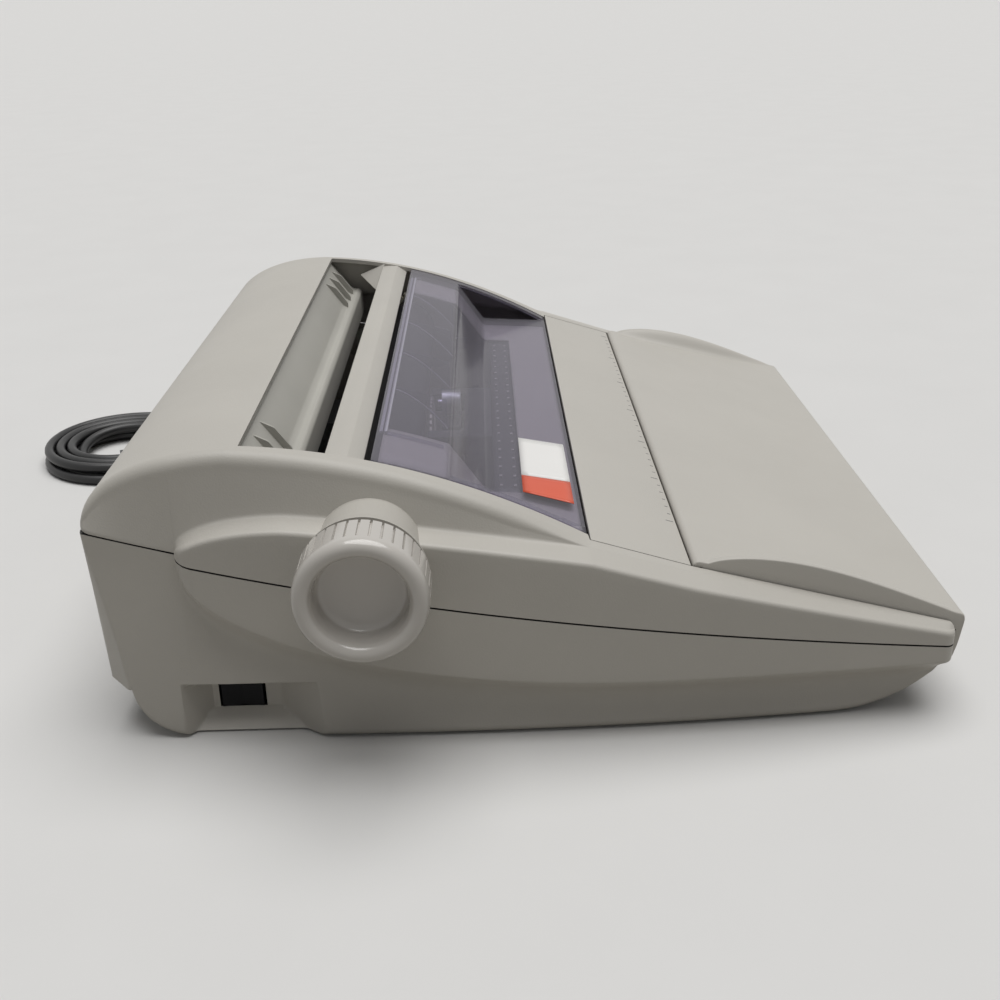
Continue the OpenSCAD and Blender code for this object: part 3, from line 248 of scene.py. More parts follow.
def rounded(points, reach, n):
    """A closed outline with all its corners rounded."""
    p = np.asarray(points, float)
    return corner(np.roll(p, 1, 0), p, np.roll(p, -1, 0), reach, n).reshape(-1, 2)


def rounded_box(u0, u1, v0, v1, reach, n):
    """A rectangle with rounded corners."""
    return rounded([[u0, v0], [u1, v0], [u1, v1], [u0, v1]], reach, n)


def across(outline, x0, x1):
    """An outline in (y, z) carried straight across the machine from x0 to x1, with both ends closed."""
    n = len(outline)
    return np.column_stack([np.repeat([x0, x1], n), np.tile(outline, (2, 1))]), capped(2, n)


def lathe(axis, along, radius, level, z, turn, ripple=0.0):
    """Rings round a line along X or Y at the given level place and height, at a number of even angles or at the
    angles given. ripple is taken from the radius, per ring and angle."""
    a = turn_angles(turn) if np.isscalar(turn) else turn
    along, radius = (np.asarray(v, float)[:, None] for v in (along, radius))
    r = np.maximum(radius + 0 * a - ripple, 0)
    flat = [along, level + r * np.cos(a)]
    ring = stacked(*(flat if axis == "x" else flat[::-1]), z + r * np.sin(a))
    return ring.reshape(-1, 3), grid_quads(len(along), len(a), True)


# %% Small tools
def mix(a, b, t):
    """The way from a to b, gone by the share t."""
    return a + (b - a) * t


def smooth_step(t):
    """Smooth rise from 0 to 1: three times t squared less twice t cubed."""
    t = np.clip(t, 0, 1)
    return t * t * (3 - 2 * t)


def soften(line):
    """Moves each inner point halfway to the middle of its two neighbours."""
    line[1:-1] = 0.25 * line[:-2] + 0.5 * line[1:-1] + 0.25 * line[2:]


def stations_across(half, inset):
    """Places across the machine: given insets from both sides, and even steps between them."""
    side = half - np.array(inset)
    return np.concatenate([-side, np.linspace(-140, 140, 15), side[::-1]])


def together(*parts):
    """Several point sets and their faces as one."""
    points, faces, start = [], [], 0
    for p, f in parts:
        p = np.asarray(p).reshape(-1, 3)
        faces += [[int(i) + start for i in face] for face in f]
        points.append(p)
        start += len(p)
    return np.concatenate(points), faces


# %% [markdown]
# ## The mains lead
# A lead about 1.75 m long leaves the rear wall through a ribbed strain relief, drops to the table in an S
# and is wound in two layers behind the machine, held by a tie, with its plug lying next to it. The route
# is one line of points, and a round tube follows it, so the lead keeps its length and thickness.

# %% Route of the lead
LEAD_D, REAR_Y = 6.4, 185.25
COIL_X, COIL_Y, COIL_IN, COIL_STEP, COIL_LIFT, COIL_TURNS = 155.0, REAR_Y + 84, 28.0, LEAD_D + 0.9, LEAD_D + 0.7, 6.5
LAY_Z, EXIT_Z, RELIEF = LEAD_D / 2 + 0.1, 32.0, 26.0
COIL_OUT = COIL_IN + COIL_STEP * COIL_TURNS / 2
EXIT_X = COIL_X - COIL_OUT


def s_bend(q, run, shift):
    """Sideways shift at q along an S of two equal arcs of radius (run^2 + shift^2) / (4 shift)."""
    r = (run * run + shift * shift) / (4 * shift)
    return np.where(q < run / 2, r - np.sqrt(np.maximum(r * r - q * q, 0)),
                    shift - r + np.sqrt(np.maximum(r * r - (run - q) ** 2, 0)))


fall_y = REAR_Y + RELIEF + 1
fall_run = COIL_Y - LEAD_D - 1 - fall_y
q = np.linspace(0, fall_run, 30)
fall = stacked(EXIT_X, fall_y + q, EXIT_Z - s_bend(q, fall_run, EXIT_Z - LAY_Z))
turn = np.linspace(0, COIL_TURNS, 320)
half = COIL_TURNS / 2
radius = COIL_OUT - COIL_STEP * np.where(turn < half, turn, COIL_TURNS - turn)
height = LAY_Z + COIL_LIFT * smooth_step((turn - half + 0.25) / 0.5)
bearing = np.pi - 2 * np.pi * turn
wound = stacked(COIL_X + radius * np.cos(bearing), COIL_Y + radius * np.sin(bearing), height)
q = np.linspace(3, 36, 12)
tail = wound[-1] + stacked(s_bend(q, 36.0, 12.0), -q, -s_bend(q, 36.0, LAY_Z + COIL_LIFT - 7.1))
lead_path = np.concatenate([[[EXIT_X, fall_y - 10, EXIT_Z], [EXIT_X, fall_y - 5, EXIT_Z]], fall,
                            [[EXIT_X, COIL_Y - LEAD_D, LAY_Z]], wound, tail,
                            tail[-1:] - [[0, LEAD_D, 0]]])
lead = piece("mains_lead", *tube(lead_path, LEAD_D / 2, 16), cord_black, "case", "cord")
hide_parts("power_cord", "cord_coil")

# %% [markdown]
# The strain relief is a lathe form: a flange against the wall and a taper with five grooves that let it
# bend. The plug is a loft of rounded rectangles, from a round neck to a flat body, with two flat pins.
# The tie is a strap round both layers of the coil.

# %% Strain relief
t = np.linspace(0, 1, 61)
groove = 0.55 * np.clip(np.sin(2 * np.pi * (5 * t + 0.25)) * 3, 0, 1) * (t > 0.12) * (t < 0.97)
taper = LEAD_D / 2 + 1.9 - 1.0 * t - groove
relief_y = np.concatenate([[REAR_Y - 2, REAR_Y - 2, REAR_Y + 0.1, REAR_Y + 0.1, REAR_Y + 3.4, REAR_Y + 4.0],
                           REAR_Y + 4.0 + (RELIEF - 4.0) * t, [REAR_Y + RELIEF, REAR_Y + RELIEF - 3]])
relief_r = np.concatenate([[LEAD_D / 2, 5.0, 5.0, 7.0, 7.0, 6.2], taper, [LEAD_D / 2 + 0.3, LEAD_D / 2 + 0.1]])
relief = piece("lead_strain_relief", *lathe("y", relief_y, relief_r, EXIT_X, EXIT_Z, 40), cord_black, "case", "cord")
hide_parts("strain_relief")
print("strain relief:", len(relief.data.polygons), "faces")

# %% Plug and tie
end = lead_path[-1]
body_t = np.array([0, 0.4, 3, 8, 13, 16, 19, 24, 30, 36, 39.5, 41.2, 42])
body_w = np.array([3.3, 3.8, 4.2, 4.9, 5.8, 8.2, 10.6, 12.2, 12.5, 12.4, 12.2, 11.6, 10.4])
body_h = np.array([3.3, 3.8, 4.1, 4.7, 5.3, 5.9, 6.5, 7.0, 7.0, 7.0, 6.9, 6.3, 5.2])
power = np.array([2, 2, 2, 2, 2.2, 2.8, 3.6, 4.4, 4.6, 4.6, 4.6, 4.4, 4.2])[:, None]
PLUG_SIDES, PIN_OFF = 56, 6.35
a = turn_angles(PLUG_SIDES)
shape = [np.sign(f(a)) * np.abs(f(a)) ** (2 / power) for f in (np.cos, np.sin)]
loft = stacked(end[0] + body_w[:, None] * shape[0], end[1] - body_t[:, None], end[2] + body_h[:, None] * shape[1])
blade = rounded_box(-0.75, 0.75, -3.1, 3.1, 0.4, 3)
blade_t = np.array([41.0, 57.0, 59.0])
blade_s = np.array([1.0, 1.0, 0.72])


def pin(side):
    """A flat pin: its rounded section carried forward and drawn in at the tip."""
    p = stacked(end[0] + side * PIN_OFF + blade_s[:, None] * blade[:, 0], end[1] - blade_t[:, None],
                end[2] + blade_s[:, None] * blade[:, 1])
    return p.reshape(-1, 3), capped(len(blade_t), len(blade))


plug = piece("lead_plug", loft, capped(len(body_t), PLUG_SIDES), cord_black, "case", "cord", angle=50)
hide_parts("power_plug")
pins = piece("lead_plug_pins", *together(pin(-1), pin(1)), shaft_steel, "case", "steel")

band_mid, band_half = (COIL_IN + COIL_OUT) / 2, (COIL_OUT - COIL_IN) / 2 + LEAD_D / 2
coil_top = LAY_Z * 2 + COIL_LIFT
loop = rounded_box(-band_half - 0.9, band_half + 0.9, 0.02, coil_top + 0.6, 3.4, 6)
inner = rounded_box(-band_half - 0.1, band_half + 0.1, 0.08, coil_top - 0.2, 2.6, 6)
aim = np.radians(200.0)
out_dir, side_dir = np.array([np.cos(aim), np.sin(aim), 0]), np.array([-np.sin(aim), np.cos(aim), 0])
strap = np.stack([np.array([COIL_X, COIL_Y, 0]) + (band_mid + o[:, :1]) * out_dir + s * side_dir + o[:, 1:] * [0, 0, 1]
                  for o, s in zip([loop, loop, inner, inner], [-5.0, 5.0, 5.0, -5.0])], 1)
now, following, last = np.arange(4), (np.arange(4) + 1) % 4, (len(loop) - 1) * 4
closing = stacked(last + now, last + following, following, now)
tie = piece("lead_tie", strap, np.concatenate([grid_quads(len(loop), 4, True), closing]), tie_black, "case", "cord")
print("lead ends at", end.round(1))

# %% [markdown]
# ## Floor and light
# A pale floor that runs to the horizon stands in for any table. The light is one very wide soft lamp, high
# and almost straight above, with a weak even sky, so the tops are pale and the near flank is shaded. Floor
# and sky throw back less light than they show to the eye, so the undersides stay in shade.

# %% Floor, sky and lamp
def seen_by_eye(net):
    """Node that gives 1 for rays from the camera, off gloss or through glass, the largest of the three."""
    path, either, seen = (new_node(net, kind) for kind in ("LightPath", "Math", "Math"))
    either.operation = seen.operation = "MAXIMUM"
    join(net, path, "Is Camera Ray", 0, either, 0, 0, seen)
    join(net, path, "Is Glossy Ray", 1, either)
    join(net, path, "Is Transmission Ray", 1, seen)
    return seen


scene.view_settings.view_transform = "Standard"
floor_mesh = bpy.data.meshes.new("floor")
floor_mesh.from_pydata([(-40, -40, 0), (40, -40, 0), (40, 40, 0), (-40, 40, 0)], [], [(0, 1, 2, 3)])
floor = bpy.data.objects.new("floor", floor_mesh)
scene.collection.objects.link(floor)
pale_floor = finish("floor_pale", (0.68, 0.675, 0.665), 0.8, drift=0.01)
floor_mesh.materials.append(pale_floor)
net = pale_floor.node_tree
choose = new_node(net, "Mix")
choose.data_type = "RGBA"
choose.inputs[6].default_value = (0.34, 0.325, 0.295, 1)
join(net, seen_by_eye(net), 0, 0, choose, 2, "Base Color", net.nodes["Principled BSDF"])
join(net, net.nodes["Color Ramp"], "Color", 7, choose)
sky = bpy.data.worlds.new("sky")
scene.world = sky
sky.use_nodes = True
net = sky.node_tree
glow = fill(net.nodes["Background"], Color=(0.97, 0.98, 1.0, 1), Strength=0.18)
backdrop, choose = new_node(net, "Background", Color=(0.72, 0.715, 0.70, 1)), new_node(net, "MixShader")
join(net, seen_by_eye(net), 0, 0, choose, 0, "Surface", net.nodes["World Output"])
join(net, glow, 0, 1, choose)
join(net, backdrop, 0, 2, choose)
lamp = bpy.data.lights.new("soft_lamp", "SUN")
lamp.energy, lamp.angle, lamp.color = 2.5, np.radians(54), (1.0, 0.995, 0.985)
lamp_at = Matrix.Translation((0.1, -0.2, 2.0))
shine = bpy.data.objects.new("soft_lamp", lamp)
scene.collection.objects.link(shine)
shine.matrix_world = lamp_at @ lamp_at.to_translation().to_track_quat("Z", "Y").to_matrix().to_4x4()
print("lamp:", shine.name)

# %% [markdown]
# ## Lines of the case
# The case is drawn by a few curves along its depth: the plan of the flanks, the parting seam, the band on
# the pods, the rim of the hump and the belly. All panels take their edges from these curves.

# %% Places along the depth and plan of the flanks
TIP_Y, DECK_Y, WINDOW_Y, WINDOW_END = -180.5, -66.75, -22.55, 66.15
BAR_Y, BAR_END, SLOT_END, PEAK_Y = 75.45, 85.05, 119.05, 123.05
CREST_Y, POD_TIP_Y, FLAT_FROM = 102.05, 146.5, TIP_Y + 52.5
SEAM_TIP_Z, SEAM_RISE, SEAM_SWEEP = 35.0, 47.5, 15.8
SEAM_REAR_Z = SEAM_TIP_Z + SEAM_RISE + SEAM_SWEEP
RAIL_TIP_Z, DECK_Z, WINDOW_Z, PEAK_Z, PEAK_LEAN = 43.2, 73.1, 86.9, 130.4, 0.0416
POD_LOW_Z, POD_TIP_Z, CREST_Z = 27.0, 91.0, 104.8
NOSE_Z, BELLY_Z, HEEL_Z = 34.0, 1.2, 23.5
POD_PROUD, SEAM_GAP, CASE_WALL, FLARE = 10.0, 0.8, 2.4, 2.0
CASE = case_grey, "case", "case_plastic"  # finish, body and slot of the case's own mouldings
REAR_ROUND, BEVEL_DEPTH, BEVEL_WIDTH = 5.0, 12.0, 13.0
PLATEN_Y, PLATEN_Z = 67.35, 88.5
DECK_HALF, WINDOW_HALF = 179.6, 174.5


def quarter(u):
    """Height of a quarter circle of radius 1 at u, and 0 past it."""
    return np.sqrt(np.maximum(0, 1 - u * u))


def nose_round(y):
    """How far the front tip of the pods is drawn in: a quarter circle over the last 5 mm."""
    return np.where(y < TIP_Y + 5, 5 * (1 - quarter((TIP_Y + 5 - y) / 5)), 0.0)


def bow(y):
    """Half width of the hull as a flat bow: 190 mm at y = 45, less the squared distance from there over 3900."""
    return 190 - (y - 45) ** 2 / 3900


def rear_share(y):
    """Share of the rounding at the rear corners that is passed at y, from 0 to 1."""
    return np.clip((y - REAR_Y + REAR_ROUND) / REAR_ROUND, 0, 1)


def hull_half(y):
    """The bow with its rear corners rounded."""
    return bow(y) - REAR_ROUND * (1 - quarter(rear_share(y)))


def proud(y):
    """How far the pods stand out from the hull; a quarter circle closes their rear tip."""
    return np.where(y < POD_TIP_Y - 8, POD_PROUD, POD_PROUD * quarter((y - POD_TIP_Y + 8) / 8))


# %% Lines seen from the side
def seam_z(y):
    """Parting seam: a straight rise with a cubic sweep."""
    t = (y - TIP_Y) / (REAR_Y - TIP_Y)
    return SEAM_TIP_Z + SEAM_RISE * t + SEAM_SWEEP * t ** 3


def shoulder_z(y):
    """Top of the rails beside the keyboard and the deck, two straight slopes."""
    return np.where(y > DECK_Y, mix(DECK_Z, WINDOW_Z, (y - DECK_Y) / (WINDOW_Y - DECK_Y)),
                    mix(RAIL_TIP_Z, DECK_Z, (y - TIP_Y) / (DECK_Y - TIP_Y)))


def fuller(u):
    """Superellipse of power 2.1, a little fuller than a quarter circle: 1 at u = 0 and 0 at u = 1."""
    return (1 - np.clip(u, 0, 1) ** 2.1) ** (1 / 2.1)


def hood_z(y):
    """Back of the hump: a full curve from the peak down to the rear seam."""
    return mix(SEAM_REAR_Z, PEAK_Z, fuller((y - PEAK_Y) / (REAR_Y - PEAK_Y)))


def rim_z(y):
    """Top edge of the hump: shoulder, then a parabola up to the peak, then the hood."""
    d, run = PEAK_Y - y, PEAK_Y - WINDOW_Y
    rise = PEAK_Z - PEAK_LEAN * d - (PEAK_Z - WINDOW_Z - PEAK_LEAN * run) * (d / run) ** 2
    return np.where(y > PEAK_Y, hood_z(y), np.where(y < WINDOW_Y, shoulder_z(y), rise))


def band_z(y):
    """Line where the pod's top meets the wall of the hump: a power curve up to the crest, then a quarter ellipse."""
    back = mix(POD_TIP_Z, CREST_Z, quarter((y - CREST_Y) / (POD_TIP_Y - CREST_Y)))
    rise = mix(CREST_Z, WINDOW_Z, (np.maximum(CREST_Y - y, 0) / (CREST_Y - WINDOW_Y)) ** 1.25)
    return np.where(y > CREST_Y, back, np.where(y < WINDOW_Y, shoulder_z(y), rise))


def belly_z(y):
    """Underside: a quarter curve up to the front tip, flat, then a rounded heel up to the rear wall's foot."""
    front = mix(NOSE_Z, BELLY_Z, quarter(np.clip((FLAT_FROM - y) / 55.5, 0, 1)))
    rear = mix(HEEL_Z, BELLY_Z, quarter(np.clip((y - REAR_Y + 35.5) / 30, 0, 1)))
    return np.where(y < FLAT_FROM, front, rear)


def pod_low(y):
    """Lower edge of the pods: level as far as y = -60, then a full curve that climbs to their rear tip."""
    return mix(POD_TIP_Z, POD_LOW_Z, fuller((y + 60) / (POD_TIP_Y + 60)))


def edge_x(y):
    """Half width of the openings between the rails."""
    return np.where(y < WINDOW_Y - 0.5, DECK_HALF, np.minimum(WINDOW_HALF, hull_half(y) - 9))


# %% Rear corners and stations
def rear_corner(y, z):
    """Depth and half width at the rear corners. They turn from a rounding of 5 mm at the seam into a flat bevel of
    12 by 13 mm at the foot, and the stations of the last 5 mm are spread over that bevel, so one follows its edge."""
    t = np.clip((SEAM_REAR_Z - z) / 73.5, 0, 1)
    back, q = mix(REAR_ROUND, BEVEL_DEPTH, t), rear_share(y)
    ahead_of = POD_TIP_Y + (y - POD_TIP_Y) * (REAR_Y - back - POD_TIP_Y) / (REAR_Y - REAR_ROUND - POD_TIP_Y)
    depth = np.where(y < POD_TIP_Y, y, np.where(q > 0, REAR_Y - back * (1 - q), ahead_of))
    return depth, bow(depth) + FLARE - BEVEL_WIDTH * t * q - REAR_ROUND * (1 - t) * (1 - quarter(q))


def stops(*knots):
    """Stations that run from knot to knot, each knot given with the number of steps after it."""
    runs = [np.linspace(a[0], b[0], a[1], endpoint=False) for a, b in zip(knots[:-1], knots[1:])]
    return np.concatenate([*runs, [knots[-1][0]]])


print("rim peaks at", rim_z(PEAK_Y).round(1), "mm")

# %% [markdown]
# ## Upper case
# One moulding makes both rails and the hood. Its section runs from the seam up the pod, over a rounded
# edge and a sloped band, up the leaning wall of the hump and round its rim. The section is carried along
# the depth; in front of the hood only the rails are kept, which leaves the openings free.

# %% Section of the upper case
EDGE_ROUND, RIM_ROUND, WALL_LEAN, FILLET = 2.2, 6.0, 3.5, 1.6


def straight(a, b, n):
    """n points from a towards b, for every station at once, without the last point."""
    return mix(a[:, None], b[:, None], np.linspace(0, 1, n, endpoint=False)[None, :, None])


def bend_of(x, z, rx, rz, n):
    """Quarter ellipse round the centre (x - rx, z - rz), from its side to its top."""
    a = np.linspace(0, np.pi / 2, n)
    return stacked(x - rx, z - rz)[:, None] + stacked(rx, rz)[:, None] * stacked(np.cos(a), np.sin(a))


def upper_half(y):
    """Right half of the section at every station: seam, pod, edge, band, wall, rim and edge of the opening,
    then two columns that are the skirt beside the keys or, on the hood, the way to the middle."""
    zs = seam_z(y) + SEAM_GAP / 2
    top = np.maximum(rim_z(y) - 2 * (1 - quarter(np.clip((TIP_Y + 2 - y) / 2, 0, 1))), zs + 2.4)
    zt = np.clip(band_z(y) - 1.8, zs + 1, top - 0.8)
    zb = np.clip(band_z(y), zt + 0.4, top - 0.2)
    xe = edge_x(y)
    xo = np.maximum(hull_half(y) + proud(y) - nose_round(y), xe + 0.8)
    inset = 0.05 + 1.45 * np.clip((POD_TIP_Y - y) / 20, 0, 1)
    xw = np.minimum(np.maximum(hull_half(y) - inset, xe + 2.2), xo - 0.05)
    re, rx = np.minimum(EDGE_ROUND, (zt - zs) * 0.8), np.minimum(EDGE_ROUND, (xo - xw) * 0.6)
    xr = np.maximum(xw - WALL_LEAN * np.clip((top - zb) / 20, 0.1, 1), xe + 0.4)
    rt, rr = np.minimum(RIM_ROUND, (top - zb) * 0.6), np.minimum(RIM_ROUND, (xr - xe) * 0.6)
    edge, foot, rim = stacked(xo - rx, zt), stacked(xw, zb), stacked(xr, top - rt)
    fillet = corner(edge, foot, rim, FILLET, 7)
    hood = y >= SLOT_END - 1e-6
    skirt = np.where(hood[:, None], stacked(0.8 * xe, top), stacked(xe, zs + 0.5))
    lip, middle = stacked(xe, top), stacked(0.4 * xe, top)
    return np.concatenate([
        straight(stacked(xo, zs), stacked(xo, zt - re), 6), bend_of(xo, zt, rx, re, 8),
        straight(edge, fillet[:, 0], 5)[:, 1:], fillet,
        straight(fillet[:, -1], rim, 6)[:, 1:], bend_of(xr, top, rr, rt, 9),
        straight(stacked(xr - rr, top), lip, 3)[:, 1:], lip[:, None], skirt[:, None], middle[:, None]], 1)


# %% Upper case
ys = stops((TIP_Y, 8), (TIP_Y + 3, 6), (TIP_Y + 6, 40), (DECK_Y, 14), (WINDOW_Y - 0.7, 1), (WINDOW_Y - 0.3, 50),
           (SLOT_END, 3), (PEAK_Y, 10), (POD_TIP_Y - 8, 8), (POD_TIP_Y - 2, 8), (POD_TIP_Y - 0.3, 3), (POD_TIP_Y, 1),
           (POD_TIP_Y + 0.3, 22), (REAR_Y - REAR_ROUND, 14), (REAR_Y - 1.0, 8), (REAR_Y, 1))
right_half = upper_half(ys)
both = np.concatenate([right_half * [-1, 1], right_half[:, ::-1]], 1)
rows, cols = both.shape[:2]
skin = stacked(both[..., 0], ys[:, None], both[..., 1])
keep = np.ones((rows - 1, cols - 1), bool)
mid = cols // 2
hooded = ys[:-1] >= SLOT_END - 1e-6
beside_keys = ys[1:] <= WINDOW_Y - 0.5
keep[:, mid - 2:mid + 1] &= hooded[:, None]
keep[:, [mid - 3, mid + 1]] &= (hooded | beside_keys)[:, None]
row = np.arange(cols)
faces = [*grid_quads(rows, cols)[keep.reshape(-1)], row[mid - 2::-1], row[:mid:-1], row + (rows - 1) * cols]
upper = piece("upper_case_shell", skin, faces, *CASE, closed=False, wall=CASE_WALL, bevel=0.5)
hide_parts("upper_case")
print("upper case:", len(upper.data.polygons), "faces")

# %% [markdown]
# ## Lower case
# The tub hangs from the same seam: down the pod, under it in an undercut, down the hull, round a corner
# and across the belly. On the left flank a scoop is sunk round the power switch. The scoop is worked out
# as the depth at which a widening box first reaches each point, rounded where its sides meet.

# %% Section of the lower case
POCKET_Y = REAR_Y - 56.6
POCKET_X = 12 - hull_half(POCKET_Y)
HOLE_HALF, HOLE_LOW, HOLE_TOP = 10.3, 8.1, 20.7
UNDERCUT, POD_EDGE, TUCK, FOOT_ROUND = 8.0, 1.0, 6.0, 2.5
hole_levels = np.concatenate([[28.7, 27.9, 27.5, 26.6, 25.0, 23.2, 21.5], np.linspace(HOLE_TOP, HOLE_LOW, 9)])


def lower_half(y):
    """Right half of the section at every station, from the seam to the middle of the belly."""
    zs = seam_z(y) - SEAM_GAP / 2
    zb = np.minimum(belly_z(y), zs - 3.4)
    h = zs - zb
    zp = np.clip(pod_low(y), zb + 0.42 * h, zs - 0.6)
    zu = np.maximum(zp - UNDERCUT, zb + 0.25 * (zp - zb))
    rb = np.minimum(FOOT_ROUND, 0.6 * (zu - zb))
    flare = FLARE * np.clip((y - TIP_Y) / 40, 0, 1)
    xh = bow(y) - 0.8 * nose_round(y)
    xo = np.maximum(bow(y) + proud(y) - nose_round(y), xh + 1e-3)
    seam, under = stacked(xo, zs), stacked(xh, zu)
    low = stacked(xo, np.minimum(zp + 0.02 * h, zs - 0.3))
    bottom = stacked(xh + flare, zb + rb)
    pod_turn, tuck = corner(seam, low, under, POD_EDGE, 8), corner(low, under, bottom, TUCK, 8)
    start = tuck[:, -1, 1]
    at_hole = np.clip(hole_levels[None], (zb + 0.6 * rb)[:, None], start[:, None] - 0.01)
    down = mix(start[:, None], at_hole[:, :1], np.linspace(0, 1, 10, endpoint=False)[1:])
    last = at_hole[:, -1:]
    turn_in = zb[:, None] + (last - zb[:, None]) * (1 - np.sin(np.linspace(0, np.pi / 2, 8)[1:]))
    z = np.concatenate([down, at_hole, turn_in], 1)
    lean = xh[:, None] + flare[:, None] * np.clip((zu[:, None] - z) / np.maximum(zu - zb - rb, 1e-6)[:, None], 0, 1)
    drop = np.clip((zb + rb)[:, None] - z, 0, rb[:, None])
    side = stacked(lean - rb[:, None] + np.sqrt(rb[:, None] ** 2 - drop ** 2), z)
    x_end = side[:, -1, 0]
    belly = stacked(x_end[:, None] * np.array([0.9, 0.66, 0.33, 0.0]), zb[:, None])
    line = np.concatenate([straight(seam, pod_turn[:, 0], 6), pod_turn,
                           straight(pod_turn[:, -1], tuck[:, 0], 4)[:, 1:], tuck, side, belly], 1)
    depth, limit = rear_corner(y[:, None], line[..., 1])
    line[..., 0] = np.where(y[:, None] > POD_TIP_Y, np.minimum(line[..., 0], limit), line[..., 0])
    return np.concatenate([line, depth[..., None]], -1)


def scoop_x(y, z):
    """X of the scoop's surface: the box round the switch widens outwards by 41 and 25 mm along Y and by 25 and
    15 mm in Z over 30 mm of depth, and the four ways of leaving it add up by a power of 14."""
    d = y - POCKET_Y
    ways = [(-17 - d) / 41, (d - 13) / 25, (8 - z) / 25, (z - 21) / 15]
    need = sum(np.maximum(w, 0) ** 14 for w in ways) ** (1 / 14)
    return POCKET_X - 30 * need


# %% Lower case
ys = stops((TIP_Y, 8), (TIP_Y + 3, 6), (TIP_Y + 6, 50), (60.0, 60), (POCKET_Y - HOLE_HALF, 18),
           (POCKET_Y + HOLE_HALF, 2), (POD_TIP_Y - 2, 8), (POD_TIP_Y - 0.3, 3), (POD_TIP_Y, 1), (POD_TIP_Y + 0.3, 36),
           (REAR_Y - REAR_ROUND, 10), (REAR_Y, 1))
right_half = lower_half(ys)
left_half = right_half * [-1, 1, 1]
left_half[..., 0] = np.maximum(left_half[..., 0], scoop_x(left_half[..., 2], left_half[..., 1]))
both = np.concatenate([right_half, left_half[:, -2::-1]], 1)
rows, cols = both.shape[:2]
skin = both[..., [0, 2, 1]]
centre = (skin[:-1, :-1] + skin[1:, 1:]) / 2
hole = ((centre[..., 0] < -100) & (np.abs(centre[..., 1] - POCKET_Y) < HOLE_HALF - 0.2)
        & (centre[..., 2] > HOLE_LOW) & (centre[..., 2] < HOLE_TOP))
row = np.arange(cols)
faces = [*grid_quads(rows, cols)[~hole.reshape(-1)], row[::-1], row + (rows - 1) * cols]
lower = piece("lower_case_shell", skin, faces, *CASE, closed=False, wall=CASE_WALL, bevel=0.3)
# The rims of the lower case's wall, at the seam and round the switch hole, take the near-black finish as painted
# shadow in the gap
lower.data.materials.append(painted_seam_shadow)
lower.modifiers["wall"].material_offset_rim = 1
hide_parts("lower_case")
print("lower case:", len(lower.data.polygons), "faces, hole of", int(hole.sum()), "quads")

# %% [markdown]
# ## Knob and collar
# Both are turned forms. The collar is a cup that reaches out through the pod and flares towards the knob,
# with a narrow neck that leaves a dark gap. The knob has a band of fine grooves, a rounded glossy rim and a
# deep dished face; the grooves are a ripple in the radius.

# %% Knob and collar
KNOB_BACK, KNOB_R, KNOB_L, RIM_W, RIM_H = -214.5, 26.2, 20.5, 3.8, 4.4
CUP_FLOOR, CUP_R, CUP_ROUND, GROOVES, GROOVE_DEPTH = 7.6, 18.2, 3.6, 36, 1.1
a = np.linspace(0, np.pi, 28)
face_x, face_r = KNOB_L - RIM_H + RIM_H * np.sin(a), KNOB_R - RIM_W + RIM_W * np.cos(a)
a = np.linspace(0, np.pi / 2, 10)
cup_x, cup_r = CUP_FLOOR + CUP_ROUND * (1 - np.sin(a)), CUP_R - CUP_ROUND * (1 - np.cos(a))
knob_x = np.concatenate([[0, 0, 0.3, 0.5, 0.55], np.linspace(1.2, 14.0, 6), [14.45, 14.5, 15.2], face_x, cup_x,
                         [7.5, 7.4]])
knob_r = np.concatenate([[0, KNOB_R - 0.8, KNOB_R - 0.3], np.full(11, KNOB_R), face_r, cup_r, [8.0, 0]])
share = np.array([0.0, 0.055, 0.08, 0.11, 0.3, 0.5, 0.7, 0.89, 0.92, 0.945])
angle = (np.arange(GROOVES)[:, None] + share).reshape(-1) * 2 * np.pi / GROOVES
cut = np.tile(np.clip((0.1 - np.minimum(share, 1 - share)) / 0.03, 0, 1), GROOVES)
band = (knob_x > 0.52) * (knob_x < 14.47) * (knob_r > KNOB_R - 1)
knob = piece("platen_knob_turned", *lathe("x", KNOB_BACK - knob_x, knob_r, PLATEN_Y, PLATEN_Z, angle,
             band[:, None] * GROOVE_DEPTH * cut), knob_grey, "platen", "knob_plastic", angle=40)
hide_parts("platen_knob")
collar_x = np.array([-181.0, -181.0, -198.0, -204.0, -208.0, -210.4, -210.9, -211.0, -213.8, -213.8, -208.0, -208.0,
                     -181.0])
collar_r = np.array([19.0, 22.4, 22.4, 23.0, 24.3, 25.4, 25.3, 18.5, 18.5, 5.2, 5.2, 19.0, 19.0])
collar = piece("knob_collar_turned", *lathe("x", collar_x, collar_r, PLATEN_Y, PLATEN_Z, 96), *CASE, angle=50)
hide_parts("knob_collar")
low, high = (np.array(p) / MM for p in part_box("platen_shaft"))
shaft_r, shaft_end = (high[2] - low[2]) / 2, high[0] - CENTRE_X
shaft_x = [-220, -220, -219.6, shaft_end - 0.4, shaft_end, shaft_end]
shaft_radii = [0, shaft_r - 0.4, shaft_r, shaft_r, shaft_r - 0.4, 0]
shaft = piece("platen_shaft_turned", *lathe("x", shaft_x, shaft_radii, PLATEN_Y, PLATEN_Z, 40), shaft_steel, "platen",
              "steel")
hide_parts("platen_shaft")
print("knob:", len(knob.data.polygons), "faces")

# %% [markdown]
# ## Keyboard cover
# The cover is one sheet over the keys, hinged at its rear edge and turned down at its front lip, with a
# lens-shaped ridge along each side. It is a grid over the distance along the slope and the width: the
# profile gives the height, and the ridge is added to it near both sides.

# %% Profile of the keyboard cover
SLOPE = np.radians(13.792141)
COVER_Y, COVER_Z, COVER_LEN, LIP_S, COVER_HALF = -67.15, 75.5, 119.5, -122.8, 178.8
HINGE_S, NOSE_R = -3.0, 2.6


